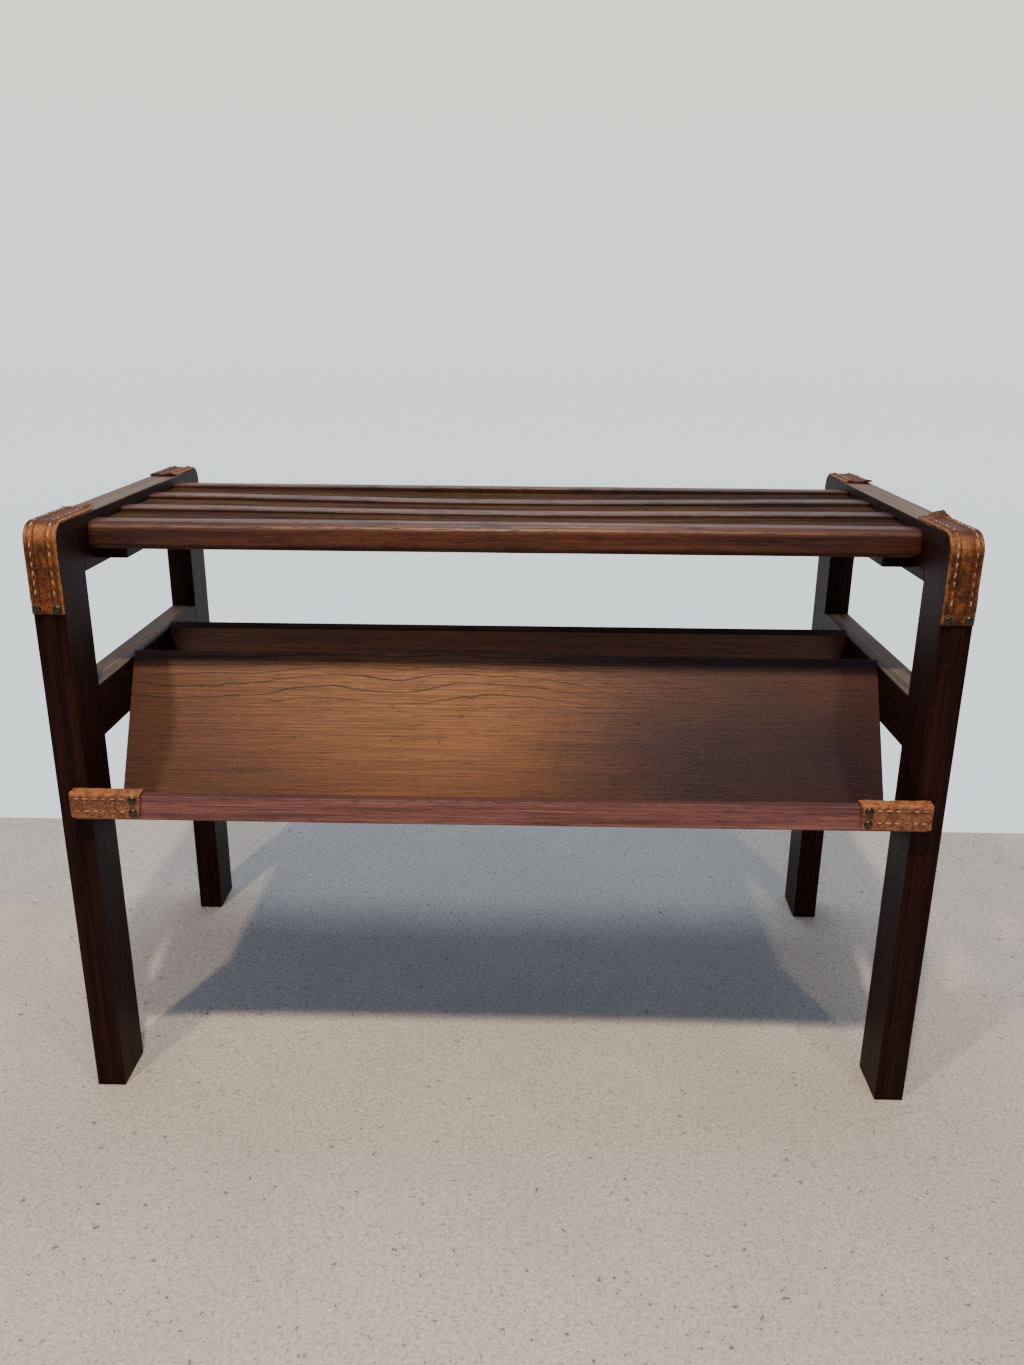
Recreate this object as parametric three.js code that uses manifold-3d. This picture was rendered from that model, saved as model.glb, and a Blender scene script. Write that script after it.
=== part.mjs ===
// A rigid luggage rack of dark hardwood with leather-capped corners. Two closed side frames carry a
// top of bars and boards. Under it two sloping panels each hold papers behind a low rail.
// Millimetres, +Z up. The origin is on the floor under the middle of the rack, and -Y is the front.
import * as THREE from 'three';
import { mergeVertices } from 'three/addons/utils/BufferGeometryUtils.js';
import Module from 'manifold-3d';

const wasm = await Module();
wasm.setup();

// Overall
const OVERALL_WIDTH = 750; // over the outer faces of the side frames
const FRAME_DEPTH = 372; // front face to rear face of a side frame
const FRAME_HEIGHT = 527; // floor to the top of a side frame

// Side frames
const FRAME_THICKNESS = 26;
const LEG_DEPTH = 48;
const TOP_RAIL_HEIGHT = 47;
const MIDDLE_RAIL_HEIGHT = 47;
const MIDDLE_RAIL_TOP = 380.5; // above the floor
const CORNER_RADIUS = 14; // outer top corner of each leg
const TENON_LENGTH = 28;
const TENON_THICKNESS = 9;
const TENON_SHOULDER = 9; // above and below each tenon

// Top of the rack
const MIDDLE_BAR_COUNT = 2;
const MIDDLE_BAR_WIDTH = 22;
const OUTER_BAR_WIDTH = 24;
const BAR_HEIGHT = 24;
const BAR_DROP = 7.5; // bar tops below the tops of the side frames
const BAR_SETBACK = 61.5; // nose of the front bar behind the front of the frames
const BAR_EASE = 3; // top edges of every bar
const NOSE_RADIUS = 8; // outward edges of the front and rear bars
const BOARD_THICKNESS = 12;
const BOARD_DROP = 3; // board tops below the bar tops
const BOARD_GAP = 0.6; // beside each board
const BATTEN_WIDTH = 28;
const BATTEN_HEIGHT = 17;
const BATTEN_INSET = 8; // batten ends behind the noses of the outer bars
const BATTEN_SCREW_COUNT = 3; // in each batten
const BATTEN_SCREW_MARGIN = 26; // first screw from the batten's end

// Sloping panels, their ledges and rails
const PANEL_THICKNESS = 9;
const PANEL_SLOPE = THREE.MathUtils.degToRad(28.3); // away from upright
const PANEL_TOP = 386; // upper edge of the outer face, above the floor
const PANEL_SETBACK = 134; // the same edge, behind the front of the frames
const PANEL_LENGTH = 157; // along the slope
const LEDGE_THICKNESS = 9;
const RAIL_OVERHANG = 0.8; // rail below the front of the ledge
const RAIL_HEIGHT = 22;
const RAIL_THICKNESS = 10;
const RAIL_END_INSET = 16.5; // rail ends inside the outer faces of the frames
const TONGUE_LENGTH = 8; // of the panels into the middle rails, and the ledges into the legs
const TONGUE_THICKNESS = 5;
const TONGUE_WIDTH = 26;
const PANEL_TONGUE_START = 13; // from the panel's upper edge, along the slope
const LEDGE_TONGUE_START = 34; // from the panel's outer face, along the ledge

// Leather and tacks
const LEATHER_THICKNESS = 2.2;
const CAP_DROP = 71.5; // down the leg from the top of the frame
const CAP_REACH = 80; // back along the top from the front of the frame
const RAIL_CAP_LENGTH = 60;
const RAIL_CAP_SHORTFALL = 3; // rail left bare under the cap
const TACK_RADIUS = 3.6;
const TACK_DOME = 2.2;
const TACK_SHANK_RADIUS = 0.9;
const TACK_SHANK_LENGTH = 9;
const CORNER_TACK_SPACING = 16.6;
const CORNER_TACK_MARGIN = 4.8; // from the low end of the cap
const RAIL_TACK_SPACING = 11.5;
const RAIL_TACK_MARGIN = 6.4; // from the inner end of the cap
const RAIL_TACK_HEIGHT = 14; // middle of the pair above the rail's underside

// Screws
const SCREW_HEAD_RADIUS = 3;
const SCREW_HEAD_HEIGHT = 2;
const SCREW_SHANK_RADIUS = 1.5;
const SCREW_TIP = 3;
const SCREW_SINK = 0.3; // head below the face
const BATTEN_SCREW_LENGTH = 42;
const RAIL_SCREW_LENGTH = 34;

// Clearances
const FIT = 0.3; // between neighbours that touch
const JOINT_CLEARANCE = 0.3; // round each tenon and tongue
const HOLE_CLEARANCE = 0.3; // round each screw and tack
const CUT_MARGIN = 5; // how far a cutting shape runs past the piece
const ROUND_SEGMENTS = 16;
const CORNER_SEGMENTS = 8;

// Worked out
const HALF_WIDTH = OVERALL_WIDTH / 2;
const INNER_X = HALF_WIDTH - FRAME_THICKNESS;
const FRAME_MIDDLE_X = HALF_WIDTH - FRAME_THICKNESS / 2;
const TOP_RAIL_BOTTOM = FRAME_HEIGHT - TOP_RAIL_HEIGHT;
const MIDDLE_RAIL_BOTTOM = MIDDLE_RAIL_TOP - MIDDLE_RAIL_HEIGHT;
const SPAN = 2 * (INNER_X - FIT); // length of the boards, bars, panels and ledges
const BAR_TOP = FRAME_HEIGHT - BAR_DROP;
const BAR_BOTTOM = BAR_TOP - BAR_HEIGHT;
const BOARD_BAYS_START = BAR_SETBACK + OUTER_BAR_WIDTH;
const BOARD_COUNT = MIDDLE_BAR_COUNT + 1;
const BAYS_DEPTH = FRAME_DEPTH - 2 * BOARD_BAYS_START - MIDDLE_BAR_COUNT * MIDDLE_BAR_WIDTH;
const BOARD_BAY = BAYS_DEPTH / BOARD_COUNT;
const BAR_PITCH = BOARD_BAY + MIDDLE_BAR_WIDTH;
const BOARD_TOP = BAR_TOP - BOARD_DROP;
const BOARD_BOTTOM = BOARD_TOP - BOARD_THICKNESS;
const BATTEN_TOP = BOARD_BOTTOM - FIT;
const BATTEN_START = BAR_SETBACK + BATTEN_INSET;
const BATTEN_LENGTH = FRAME_DEPTH - 2 * BATTEN_START;
const BATTEN_INNER_X = INNER_X - FIT - BATTEN_WIDTH;
const BATTEN_SCREW_Z = BATTEN_TOP - BATTEN_HEIGHT / 2;
const CAP_OFFSET = FIT + LEATHER_THICKNESS; // outer face of the leather from the wood
const CORNER_TACK_Z = FRAME_HEIGHT - CAP_DROP + CORNER_TACK_MARGIN;
const RAIL_LENGTH = OVERALL_WIDTH - 2 * RAIL_END_INSET;
const RAIL_BOTTOM = onSlope(PANEL_LENGTH, slopeReach(PANEL_LENGTH)).y - RAIL_OVERHANG;
const RAIL_FRONT_Y = -FIT - RAIL_THICKNESS;
const RAIL_CAP_FRONT_Y = RAIL_FRONT_Y - CAP_OFFSET;
const RAIL_CAP_INNER_X = RAIL_LENGTH / 2 + CAP_OFFSET - RAIL_CAP_LENGTH;
const RAIL_SCREW_X = (INNER_X + RAIL_LENGTH / 2) / 2;
const RAIL_SCREW_Z = RAIL_BOTTOM + RAIL_HEIGHT / 2;

const FINISHES = {
  frame: { color: 0x2a120c, roughness: 0.32, metalness: 0 },
  top: { color: 0x6b3418, roughness: 0.38, metalness: 0 },
  panel: { color: 0x9a6238, roughness: 0.42, metalness: 0 },
  rail: { color: 0x7d4a36, roughness: 0.4, metalness: 0 },
  leather: { color: 0x9a5522, roughness: 0.55, metalness: 0 },
  tack: { color: 0x3b3a30, roughness: 0.35, metalness: 0.9 },
  screw: { color: 0x8a7a50, roughness: 0.4, metalness: 0.9 },
};

function block(x, y, z, width, depth, height) {
  const geometry = new THREE.BoxGeometry(width, depth, height);
  return geometry.translate(x + width / 2, y + depth / 2, z + height / 2);
}

// An outline drawn in (y, z), extruded along X from x.
function acrossX(shape, x, width) {
  const options = { depth: width, bevelEnabled: false, curveSegments: CORNER_SEGMENTS };
  const turn = new THREE.Matrix4().makeBasis(
    new THREE.Vector3(0, 1, 0),
    new THREE.Vector3(0, 0, 1),
    new THREE.Vector3(1, 0, 0),
  );
  return new THREE.ExtrudeGeometry(shape, options).applyMatrix4(turn).translate(x, 0, 0);
}

function toManifold(geometry) {
  const bare = new THREE.BufferGeometry();
  bare.setAttribute('position', geometry.getAttribute('position'));
  if (geometry.index) bare.setIndex(geometry.index);
  const merged = mergeVertices(bare, 1e-4);
  return new wasm.Manifold(new wasm.Mesh({
    numProp: 3,
    vertProperties: new Float32Array(merged.getAttribute('position').array),
    triVerts: new Uint32Array(merged.index.array),
  }));
}

function toGeometry(manifold) {
  const mesh = manifold.getMesh();
  const geometry = new THREE.BufferGeometry();
  geometry.setAttribute('position', new THREE.BufferAttribute(mesh.vertProperties, 3));
  geometry.setIndex(new THREE.BufferAttribute(mesh.triVerts, 1));
  geometry.computeVertexNormals();
  return geometry;
}

function shaped(base, additions, cuts) {
  let solid = toManifold(base);
  for (const addition of additions) solid = solid.add(toManifold(addition));
  for (const cut of cuts) solid = solid.subtract(toManifold(cut));
  return toGeometry(solid);
}

function place(parent, name, geometry, finish) {
  const mesh = new THREE.Mesh(geometry, new THREE.MeshStandardMaterial(FINISHES[finish]));
  mesh.name = name;
  parent.add(mesh);
  return mesh;
}

// A turned shape whose profile of [radius, distance] pairs runs from its head towards +Z.
function turned(profile) {
  const points = profile.map(([radius, distance]) => new THREE.Vector2(radius, distance));
  return new THREE.LatheGeometry(points, ROUND_SEGMENTS).rotateX(Math.PI / 2);
}

// Fasteners stand on the origin, with their points towards +Z.
function screwGeometry(length) {
  return turned([
    [0, 0],
    [SCREW_HEAD_RADIUS, 0],
    [SCREW_SHANK_RADIUS, SCREW_HEAD_HEIGHT],
    [SCREW_SHANK_RADIUS, length - SCREW_TIP],
    [0, length],
  ]);
}

function screwHole(length) {
  const shank = SCREW_SHANK_RADIUS + HOLE_CLEARANCE;
  return turned([
    [0, -CUT_MARGIN],
    [SCREW_HEAD_RADIUS + HOLE_CLEARANCE, -CUT_MARGIN],
    [SCREW_HEAD_RADIUS + HOLE_CLEARANCE, HOLE_CLEARANCE],
    [shank, SCREW_HEAD_HEIGHT + HOLE_CLEARANCE],
    [shank, length + HOLE_CLEARANCE],
    [0, length + HOLE_CLEARANCE],
  ]);
}

function tackGeometry() {
  const profile = [];
  for (let step = CORNER_SEGMENTS; step > 0; step -= 1) {
    const angle = (step / CORNER_SEGMENTS) * (Math.PI / 2);
    const radius = step === CORNER_SEGMENTS ? 0 : TACK_RADIUS * Math.cos(angle);
    profile.push([radius, -TACK_DOME * Math.sin(angle)]);
  }
  profile.push([TACK_RADIUS, 0]);
  profile.push([TACK_SHANK_RADIUS, 0]);
  profile.push([TACK_SHANK_RADIUS, TACK_SHANK_LENGTH - TACK_SHANK_RADIUS]);
  profile.push([0, TACK_SHANK_LENGTH]);
  return turned(profile);
}

function tackHole() {
  const radius = TACK_SHANK_RADIUS + HOLE_CLEARANCE;
  const depth = TACK_SHANK_LENGTH + HOLE_CLEARANCE;
  return turned([[0, -CUT_MARGIN], [radius, -CUT_MARGIN], [radius, depth], [0, depth]]);
}

// Turns a fastener from +Z to +Y, the way it goes into a front face.
function intoFront(geometry, x, y, z) {
  return geometry.rotateX(-Math.PI / 2).translate(x, y, z);
}

// Turns a fastener from +Z to +X or -X, the way it goes into a side frame.
function intoSide(geometry, side, x, y, z) {
  return geometry.rotateY(side * (Math.PI / 2)).translate(x, y, z);
}

// A point on the section of a sloping panel: `down` along the slope from the upper edge of its outer
// face, and `out` square to that face, away from the middle of the rack.
function onSlope(down, out) {
  const sine = Math.sin(PANEL_SLOPE);
  const cosine = Math.cos(PANEL_SLOPE);
  return new THREE.Vector2(
    PANEL_SETBACK - down * sine - out * cosine,
    PANEL_TOP - down * cosine + out * sine,
  );
}

function slopedBlock(x, width, [downStart, downEnd], [outStart, outEnd]) {
  const corners = [
    onSlope(downStart, outStart),
    onSlope(downStart, outEnd),
    onSlope(downEnd, outEnd),
    onSlope(downEnd, outStart),
  ];
  return acrossX(new THREE.Shape(corners), x, width);
}

// A tongue at one end of a panel or ledge, or with `grow` the socket that takes it.
function tongue(side, grow, downRange, outRange) {
  const length = CUT_MARGIN + TONGUE_LENGTH + grow;
  const x = side > 0 ? INNER_X - CUT_MARGIN : -INNER_X - TONGUE_LENGTH - grow;
  const wider = ([start, end]) => [start - grow, end + grow];
  return slopedBlock(x, length, wider(downRange), wider(outRange));
}

function acrossThickness(middle) {
  return [middle - TONGUE_THICKNESS / 2, middle + TONGUE_THICKNESS / 2];
}

function panelTongue(side, grow) {
  const along = [PANEL_TONGUE_START, PANEL_TONGUE_START + TONGUE_WIDTH];
  return tongue(side, grow, along, acrossThickness(-PANEL_THICKNESS / 2));
}

function ledgeTongue(side, grow) {
  const along = [LEDGE_TONGUE_START, LEDGE_TONGUE_START + TONGUE_WIDTH];
  return tongue(side, grow, acrossThickness(PANEL_LENGTH - LEDGE_THICKNESS / 2), along);
}

function panelGeometry() {
  const board = slopedBlock(-SPAN / 2, SPAN, [0, PANEL_LENGTH], [-PANEL_THICKNESS, 0]);
  return shaped(board, [panelTongue(-1, 0), panelTongue(1, 0)], []);
}

// How far out from the panel, at `down` along its slope, the fronts of the legs are.
function slopeReach(down) {
  return onSlope(down, 0).x / Math.cos(PANEL_SLOPE);
}

// The ledge stands square to the panel and is cut upright where it meets the back of the rail.
function ledgeGeometry() {
  const upper = PANEL_LENGTH - LEDGE_THICKNESS;
  const corners = [
    onSlope(upper, FIT),
    onSlope(upper, slopeReach(upper)),
    onSlope(PANEL_LENGTH, slopeReach(PANEL_LENGTH)),
    onSlope(PANEL_LENGTH, FIT),
  ];
  const board = acrossX(new THREE.Shape(corners), -SPAN / 2, SPAN);
  return shaped(board, [ledgeTongue(-1, 0), ledgeTongue(1, 0)], []);
}

// A tenon along Y in the middle of the frame's thickness, or with `grow` the mortise that takes it.
function tenon(start, length, railBottom, railHeight, grow) {
  return block(
    -TENON_THICKNESS / 2 - grow,
    start - grow,
    railBottom + TENON_SHOULDER - grow,
    TENON_THICKNESS + 2 * grow,
    length + 2 * grow,
    railHeight - 2 * TENON_SHOULDER + 2 * grow,
  );
}

// A rail of a side frame about the frame's middle plane, with a tenon at each end.
function frameRailGeometry(bottom, height, cuts) {
  const start = LEG_DEPTH + FIT;
  const tenonStart = LEG_DEPTH - TENON_LENGTH;
  const rail = block(-FRAME_THICKNESS / 2, start, bottom, FRAME_THICKNESS, FRAME_DEPTH - 2 * start, height);
  return shaped(rail, [tenon(tenonStart, FRAME_DEPTH - 2 * tenonStart, bottom, height, 0)], cuts);
}

function cornerTackHoles() {
  return [-1, 1].map((way) => (
    intoFront(tackHole(), way * (CORNER_TACK_SPACING / 2), -CAP_OFFSET, CORNER_TACK_Z)
  ));
}

function legOutline() {
  const outline = new THREE.Shape();
  outline.moveTo(0, 0);
  outline.lineTo(LEG_DEPTH, 0);
  outline.lineTo(LEG_DEPTH, FRAME_HEIGHT);
  outline.lineTo(CORNER_RADIUS, FRAME_HEIGHT);
  outline.absarc(CORNER_RADIUS, FRAME_HEIGHT - CORNER_RADIUS, CORNER_RADIUS, Math.PI / 2, Math.PI);
  outline.closePath();
  return outline;
}

// The front leg on the given side, about the frame's middle plane.
function legGeometry(side) {
  const leg = acrossX(legOutline(), -FRAME_THICKNESS / 2, FRAME_THICKNESS);
  const mortiseStart = LEG_DEPTH - TENON_LENGTH;
  const mortiseLength = TENON_LENGTH + CUT_MARGIN;
  const screwX = side * (RAIL_SCREW_X - FRAME_MIDDLE_X);
  return shaped(leg, [], [
    tenon(mortiseStart, mortiseLength, TOP_RAIL_BOTTOM, TOP_RAIL_HEIGHT, JOINT_CLEARANCE),
    tenon(mortiseStart, mortiseLength, MIDDLE_RAIL_BOTTOM, MIDDLE_RAIL_HEIGHT, JOINT_CLEARANCE),
    ledgeTongue(side, JOINT_CLEARANCE).translate(-side * FRAME_MIDDLE_X, 0, 0),
    intoFront(screwHole(RAIL_SCREW_LENGTH), screwX, RAIL_FRONT_Y + SCREW_SINK, RAIL_SCREW_Z),
    ...cornerTackHoles(),
  ]);
}

function battenScrewPlaces() {
  const step = (BATTEN_LENGTH - 2 * BATTEN_SCREW_MARGIN) / (BATTEN_SCREW_COUNT - 1);
  const places = [];
  for (let index = 0; index < BATTEN_SCREW_COUNT; index += 1) {
    places.push(BATTEN_START + BATTEN_SCREW_MARGIN + index * step);
  }
  return places;
}

function atBattenScrew(geometry, side, y) {
  return intoSide(geometry, side, side * (BATTEN_INNER_X + SCREW_SINK), y, BATTEN_SCREW_Z);
}

function battenScrewHoles(side) {
  return battenScrewPlaces().map((y) => atBattenScrew(screwHole(BATTEN_SCREW_LENGTH), side, y));
}

function addSideFrame(parent, side, hand) {
  const frame = new THREE.Group();
  frame.position.x = side * FRAME_MIDDLE_X;
  parent.add(frame);
  const toFrame = (geometry) => geometry.translate(-side * FRAME_MIDDLE_X, 0, 0);

  place(frame, `${hand}_front_leg`, legGeometry(side), 'frame');
  const rearLeg = place(frame, `${hand}_rear_leg`, legGeometry(-side), 'frame');
  rearLeg.rotation.z = Math.PI;
  rearLeg.position.y = FRAME_DEPTH;

  const screwHoles = battenScrewHoles(side).map(toFrame);
  const topRail = frameRailGeometry(TOP_RAIL_BOTTOM, TOP_RAIL_HEIGHT, screwHoles);
  place(frame, `${hand}_top_rail`, topRail, 'frame');

  const frontSocket = panelTongue(side, JOINT_CLEARANCE);
  const rearSocket = panelTongue(-side, JOINT_CLEARANCE).rotateZ(Math.PI).translate(0, FRAME_DEPTH, 0);
  const sockets = [frontSocket, rearSocket].map(toFrame);
  const middleRail = frameRailGeometry(MIDDLE_RAIL_BOTTOM, MIDDLE_RAIL_HEIGHT, sockets);
  place(frame, `${hand}_middle_rail`, middleRail, 'frame');
}

function middleBarOutline() {
  const outline = new THREE.Shape();
  outline.moveTo(0, BAR_BOTTOM);
  outline.lineTo(MIDDLE_BAR_WIDTH, BAR_BOTTOM);
  outline.absarc(MIDDLE_BAR_WIDTH - BAR_EASE, BAR_TOP - BAR_EASE, BAR_EASE, 0, Math.PI / 2);
  outline.absarc(BAR_EASE, BAR_TOP - BAR_EASE, BAR_EASE, Math.PI / 2, Math.PI);
  outline.closePath();
  return outline;
}

// The front bar's section. Its nose is rounded above and below.
function outerBarOutline() {
  const outline = new THREE.Shape();
  outline.moveTo(OUTER_BAR_WIDTH, BAR_BOTTOM);
  outline.absarc(OUTER_BAR_WIDTH - BAR_EASE, BAR_TOP - BAR_EASE, BAR_EASE, 0, Math.PI / 2);
  outline.absarc(NOSE_RADIUS, BAR_TOP - NOSE_RADIUS, NOSE_RADIUS, Math.PI / 2, Math.PI);
  outline.absarc(NOSE_RADIUS, BAR_BOTTOM + NOSE_RADIUS, NOSE_RADIUS, Math.PI, 1.5 * Math.PI);
  outline.closePath();
  return outline;
}

// Each bar is notched over the battens. The notch starts at `notchStart` behind the bar's front face.
function barGeometry(outline, width, notchStart) {
  const bar = acrossX(outline, -SPAN / 2, SPAN);
  const innerX = BATTEN_INNER_X - FIT;
  const notches = [-1, 1].map((side) => block(
    side > 0 ? innerX : -innerX - BATTEN_WIDTH - CUT_MARGIN,
    notchStart,
    BAR_BOTTOM - CUT_MARGIN,
    BATTEN_WIDTH + CUT_MARGIN,
    width - notchStart + CUT_MARGIN,
    BATTEN_TOP + FIT - BAR_BOTTOM + CUT_MARGIN,
  ));
  return shaped(bar, [], notches);
}

function addBars(parent) {
  const outer = barGeometry(outerBarOutline(), OUTER_BAR_WIDTH, BATTEN_INSET - FIT);
  const front = place(parent, 'top_front_bar', outer, 'top');
  front.position.y = BAR_SETBACK;
  const rear = place(parent, 'top_rear_bar', outer.clone(), 'top');
  rear.rotation.z = Math.PI;
  rear.position.y = FRAME_DEPTH - BAR_SETBACK;
  for (let index = 0; index < MIDDLE_BAR_COUNT; index += 1) {
    const middle = barGeometry(middleBarOutline(), MIDDLE_BAR_WIDTH, -CUT_MARGIN);
    const bar = place(parent, `top_middle_bar_${index + 1}`, middle, 'top');
    bar.position.y = BOARD_BAYS_START + BOARD_BAY + index * BAR_PITCH;
  }
}

function addBoards(parent) {
  for (let index = 0; index < BOARD_COUNT; index += 1) {
    const y = BOARD_BAYS_START + index * BAR_PITCH + BOARD_GAP;
    const width = BOARD_BAY - 2 * BOARD_GAP;
    const board = block(-SPAN / 2, y, BOARD_BOTTOM, SPAN, width, BOARD_THICKNESS);
    place(parent, `top_board_${index + 1}`, board, 'top');
  }
}

function addBatten(parent, side, hand) {
  const x = side > 0 ? BATTEN_INNER_X : -BATTEN_INNER_X - BATTEN_WIDTH;
  const z = BATTEN_TOP - BATTEN_HEIGHT;
  const batten = block(x, BATTEN_START, z, BATTEN_WIDTH, BATTEN_LENGTH, BATTEN_HEIGHT);
  place(parent, `${hand}_batten`, shaped(batten, [], battenScrewHoles(side)), 'top');
  battenScrewPlaces().forEach((y, index) => {
    const screw = atBattenScrew(screwGeometry(BATTEN_SCREW_LENGTH), side, y);
    place(parent, `${hand}_batten_screw_${index + 1}`, screw, 'screw');
  });
}

// Strap over the rounded top corner of the front leg, about the frame's middle plane.
function cornerCapGeometry() {
  const centreZ = FRAME_HEIGHT - CORNER_RADIUS;
  const outline = new THREE.Shape();
  outline.moveTo(CAP_REACH, FRAME_HEIGHT + FIT);
  outline.lineTo(CAP_REACH, FRAME_HEIGHT + CAP_OFFSET);
  outline.absarc(CORNER_RADIUS, centreZ, CORNER_RADIUS + CAP_OFFSET, Math.PI / 2, Math.PI);
  outline.lineTo(-CAP_OFFSET, FRAME_HEIGHT - CAP_DROP);
  outline.lineTo(-FIT, FRAME_HEIGHT - CAP_DROP);
  outline.absarc(CORNER_RADIUS, centreZ, CORNER_RADIUS + FIT, Math.PI, Math.PI / 2, true);
  outline.closePath();
  const strap = acrossX(outline, -FRAME_THICKNESS / 2, FRAME_THICKNESS);
  return shaped(strap, [], cornerTackHoles());
}

function addCornerCap(parent, side, name) {
  const corner = new THREE.Group();
  corner.position.x = side * FRAME_MIDDLE_X;
  parent.add(corner);
  place(corner, `${name}_corner_cap`, cornerCapGeometry(), 'leather');
  [-1, 1].forEach((way, index) => {
    const x = way * (CORNER_TACK_SPACING / 2);
    const tack = intoFront(tackGeometry(), x, -CAP_OFFSET, CORNER_TACK_Z);
    place(corner, `${name}_corner_tack_${index + 1}`, tack, 'tack');
  });
}

function railTackPlaces(side) {
  return [1, -1].map((way) => ({
    x: side * (RAIL_CAP_INNER_X + RAIL_TACK_MARGIN),
    z: RAIL_BOTTOM + RAIL_TACK_HEIGHT + way * (RAIL_TACK_SPACING / 2),
  }));
}

function railTackHoles(side) {
  return railTackPlaces(side).map(({ x, z }) => intoFront(tackHole(), x, RAIL_CAP_FRONT_Y, z));
}

function atRailScrew(geometry, side) {
  return intoFront(geometry, side * RAIL_SCREW_X, RAIL_FRONT_Y + SCREW_SINK, RAIL_SCREW_Z);
}

function railGeometry() {
  const x = -RAIL_LENGTH / 2;
  const rail = block(x, RAIL_FRONT_Y, RAIL_BOTTOM, RAIL_LENGTH, RAIL_THICKNESS, RAIL_HEIGHT);
  const screwHoles = [-1, 1].map((side) => atRailScrew(screwHole(RAIL_SCREW_LENGTH), side));
  return shaped(rail, [], [...railTackHoles(-1), ...railTackHoles(1), ...screwHoles]);
}

// Leather folded over the front, the top and one end of a rail.
function railCapGeometry(side) {
  const bottom = RAIL_BOTTOM + RAIL_CAP_SHORTFALL;
  const height = RAIL_HEIGHT - RAIL_CAP_SHORTFALL;
  const x = side > 0 ? RAIL_CAP_INNER_X : -RAIL_CAP_INNER_X - RAIL_CAP_LENGTH;
  const outside = block(
    x,
    RAIL_CAP_FRONT_Y,
    bottom,
    RAIL_CAP_LENGTH,
    -FIT - RAIL_CAP_FRONT_Y,
    height + CAP_OFFSET,
  );
  const inside = block(
    -RAIL_LENGTH / 2 - FIT,
    RAIL_FRONT_Y - FIT,
    bottom - CUT_MARGIN,
    RAIL_LENGTH + 2 * FIT,
    RAIL_THICKNESS + FIT + CUT_MARGIN,
    height + CUT_MARGIN + FIT,
  );
  return shaped(outside, [], [inside, ...railTackHoles(side)]);
}

function addRail(parent, name, hands) {
  place(parent, `${name}_rail`, railGeometry(), 'rail');
  for (const side of [-1, 1]) {
    const hand = hands[side];
    place(parent, `${name}_rail_cap_${hand}`, railCapGeometry(side), 'leather');
    place(parent, `${name}_rail_screw_${hand}`, atRailScrew(screwGeometry(RAIL_SCREW_LENGTH), side), 'screw');
    railTackPlaces(side).forEach(({ x, z }, index) => {
      const tack = intoFront(tackGeometry(), x, RAIL_CAP_FRONT_Y, z);
      place(parent, `${name}_rail_tack_${hand}_${index + 1}`, tack, 'tack');
    });
  }
}

// Everything the front of the rack has and the rear repeats, turned half round.
function addFace(parent, name, hands) {
  place(parent, `${name}_panel`, panelGeometry(), 'panel');
  place(parent, `${name}_ledge`, ledgeGeometry(), 'panel');
  addRail(parent, name, hands);
  for (const side of [-1, 1]) addCornerCap(parent, side, `${hands[side]}_${name}`);
}

function addFaces(parent) {
  const front = new THREE.Group();
  addFace(front, 'front', { [-1]: 'left', 1: 'right' });
  const rear = new THREE.Group();
  addFace(rear, 'rear', { [-1]: 'right', 1: 'left' });
  rear.rotation.z = Math.PI;
  rear.position.y = FRAME_DEPTH;
  parent.add(front, rear);
}

function buildRack() {
  const rack = new THREE.Group();
  const assembly = new THREE.Group();
  assembly.position.y = -FRAME_DEPTH / 2;
  rack.add(assembly);
  addSideFrame(assembly, -1, 'left');
  addSideFrame(assembly, 1, 'right');
  addBars(assembly);
  addBoards(assembly);
  addBatten(assembly, -1, 'left');
  addBatten(assembly, 1, 'right');
  addFaces(assembly);
  return rack;
}

export default buildRack();
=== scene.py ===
"""A luggage rack of dark hardwood with stitched leather caps, modelled round its CAD frame.

Everything is in metres in the frame of the CAD model: +X to the right, +Y to the back, +Z up.
Sizes that a user would change are in the property groups, and the rest comes from the frame.
"""

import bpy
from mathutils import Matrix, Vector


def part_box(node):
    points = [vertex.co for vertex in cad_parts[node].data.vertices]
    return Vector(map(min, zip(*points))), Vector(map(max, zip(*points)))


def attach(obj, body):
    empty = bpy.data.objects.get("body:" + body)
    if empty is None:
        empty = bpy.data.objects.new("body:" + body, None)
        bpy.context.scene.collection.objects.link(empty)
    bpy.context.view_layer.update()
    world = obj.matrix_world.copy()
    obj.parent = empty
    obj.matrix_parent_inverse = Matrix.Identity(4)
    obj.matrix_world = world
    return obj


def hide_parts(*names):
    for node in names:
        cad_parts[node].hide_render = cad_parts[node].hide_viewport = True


bl_info = {
    "name": "Leather-capped luggage rack",
    "version": (1, 0, 0),
    "blender": (4, 5, 0),
    "location": "View3D > Sidebar > Rack",
    "description": "Builds a hardwood luggage rack with leather caps, and a studio for it",
    "category": "Object",
}

import math
import random

import bpy
from bpy.props import FloatProperty, FloatVectorProperty, PointerProperty
from mathutils import Matrix, Vector

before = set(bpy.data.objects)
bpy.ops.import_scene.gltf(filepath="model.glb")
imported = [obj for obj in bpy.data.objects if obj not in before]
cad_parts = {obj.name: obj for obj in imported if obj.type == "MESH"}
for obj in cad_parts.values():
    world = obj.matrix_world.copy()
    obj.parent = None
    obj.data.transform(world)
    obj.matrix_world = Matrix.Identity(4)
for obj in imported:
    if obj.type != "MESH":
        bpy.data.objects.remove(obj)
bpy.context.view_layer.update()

MM = 0.001
QUARTER = math.pi / 2
HANDS = {"left": -1, "right": 1}
ENDS = {"front": -1, "rear": 1}
CORNERS = tuple((hand, end) for hand in HANDS for end in ENDS)
AXES = {"x": 0, "y": 1, "z": 2}

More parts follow.
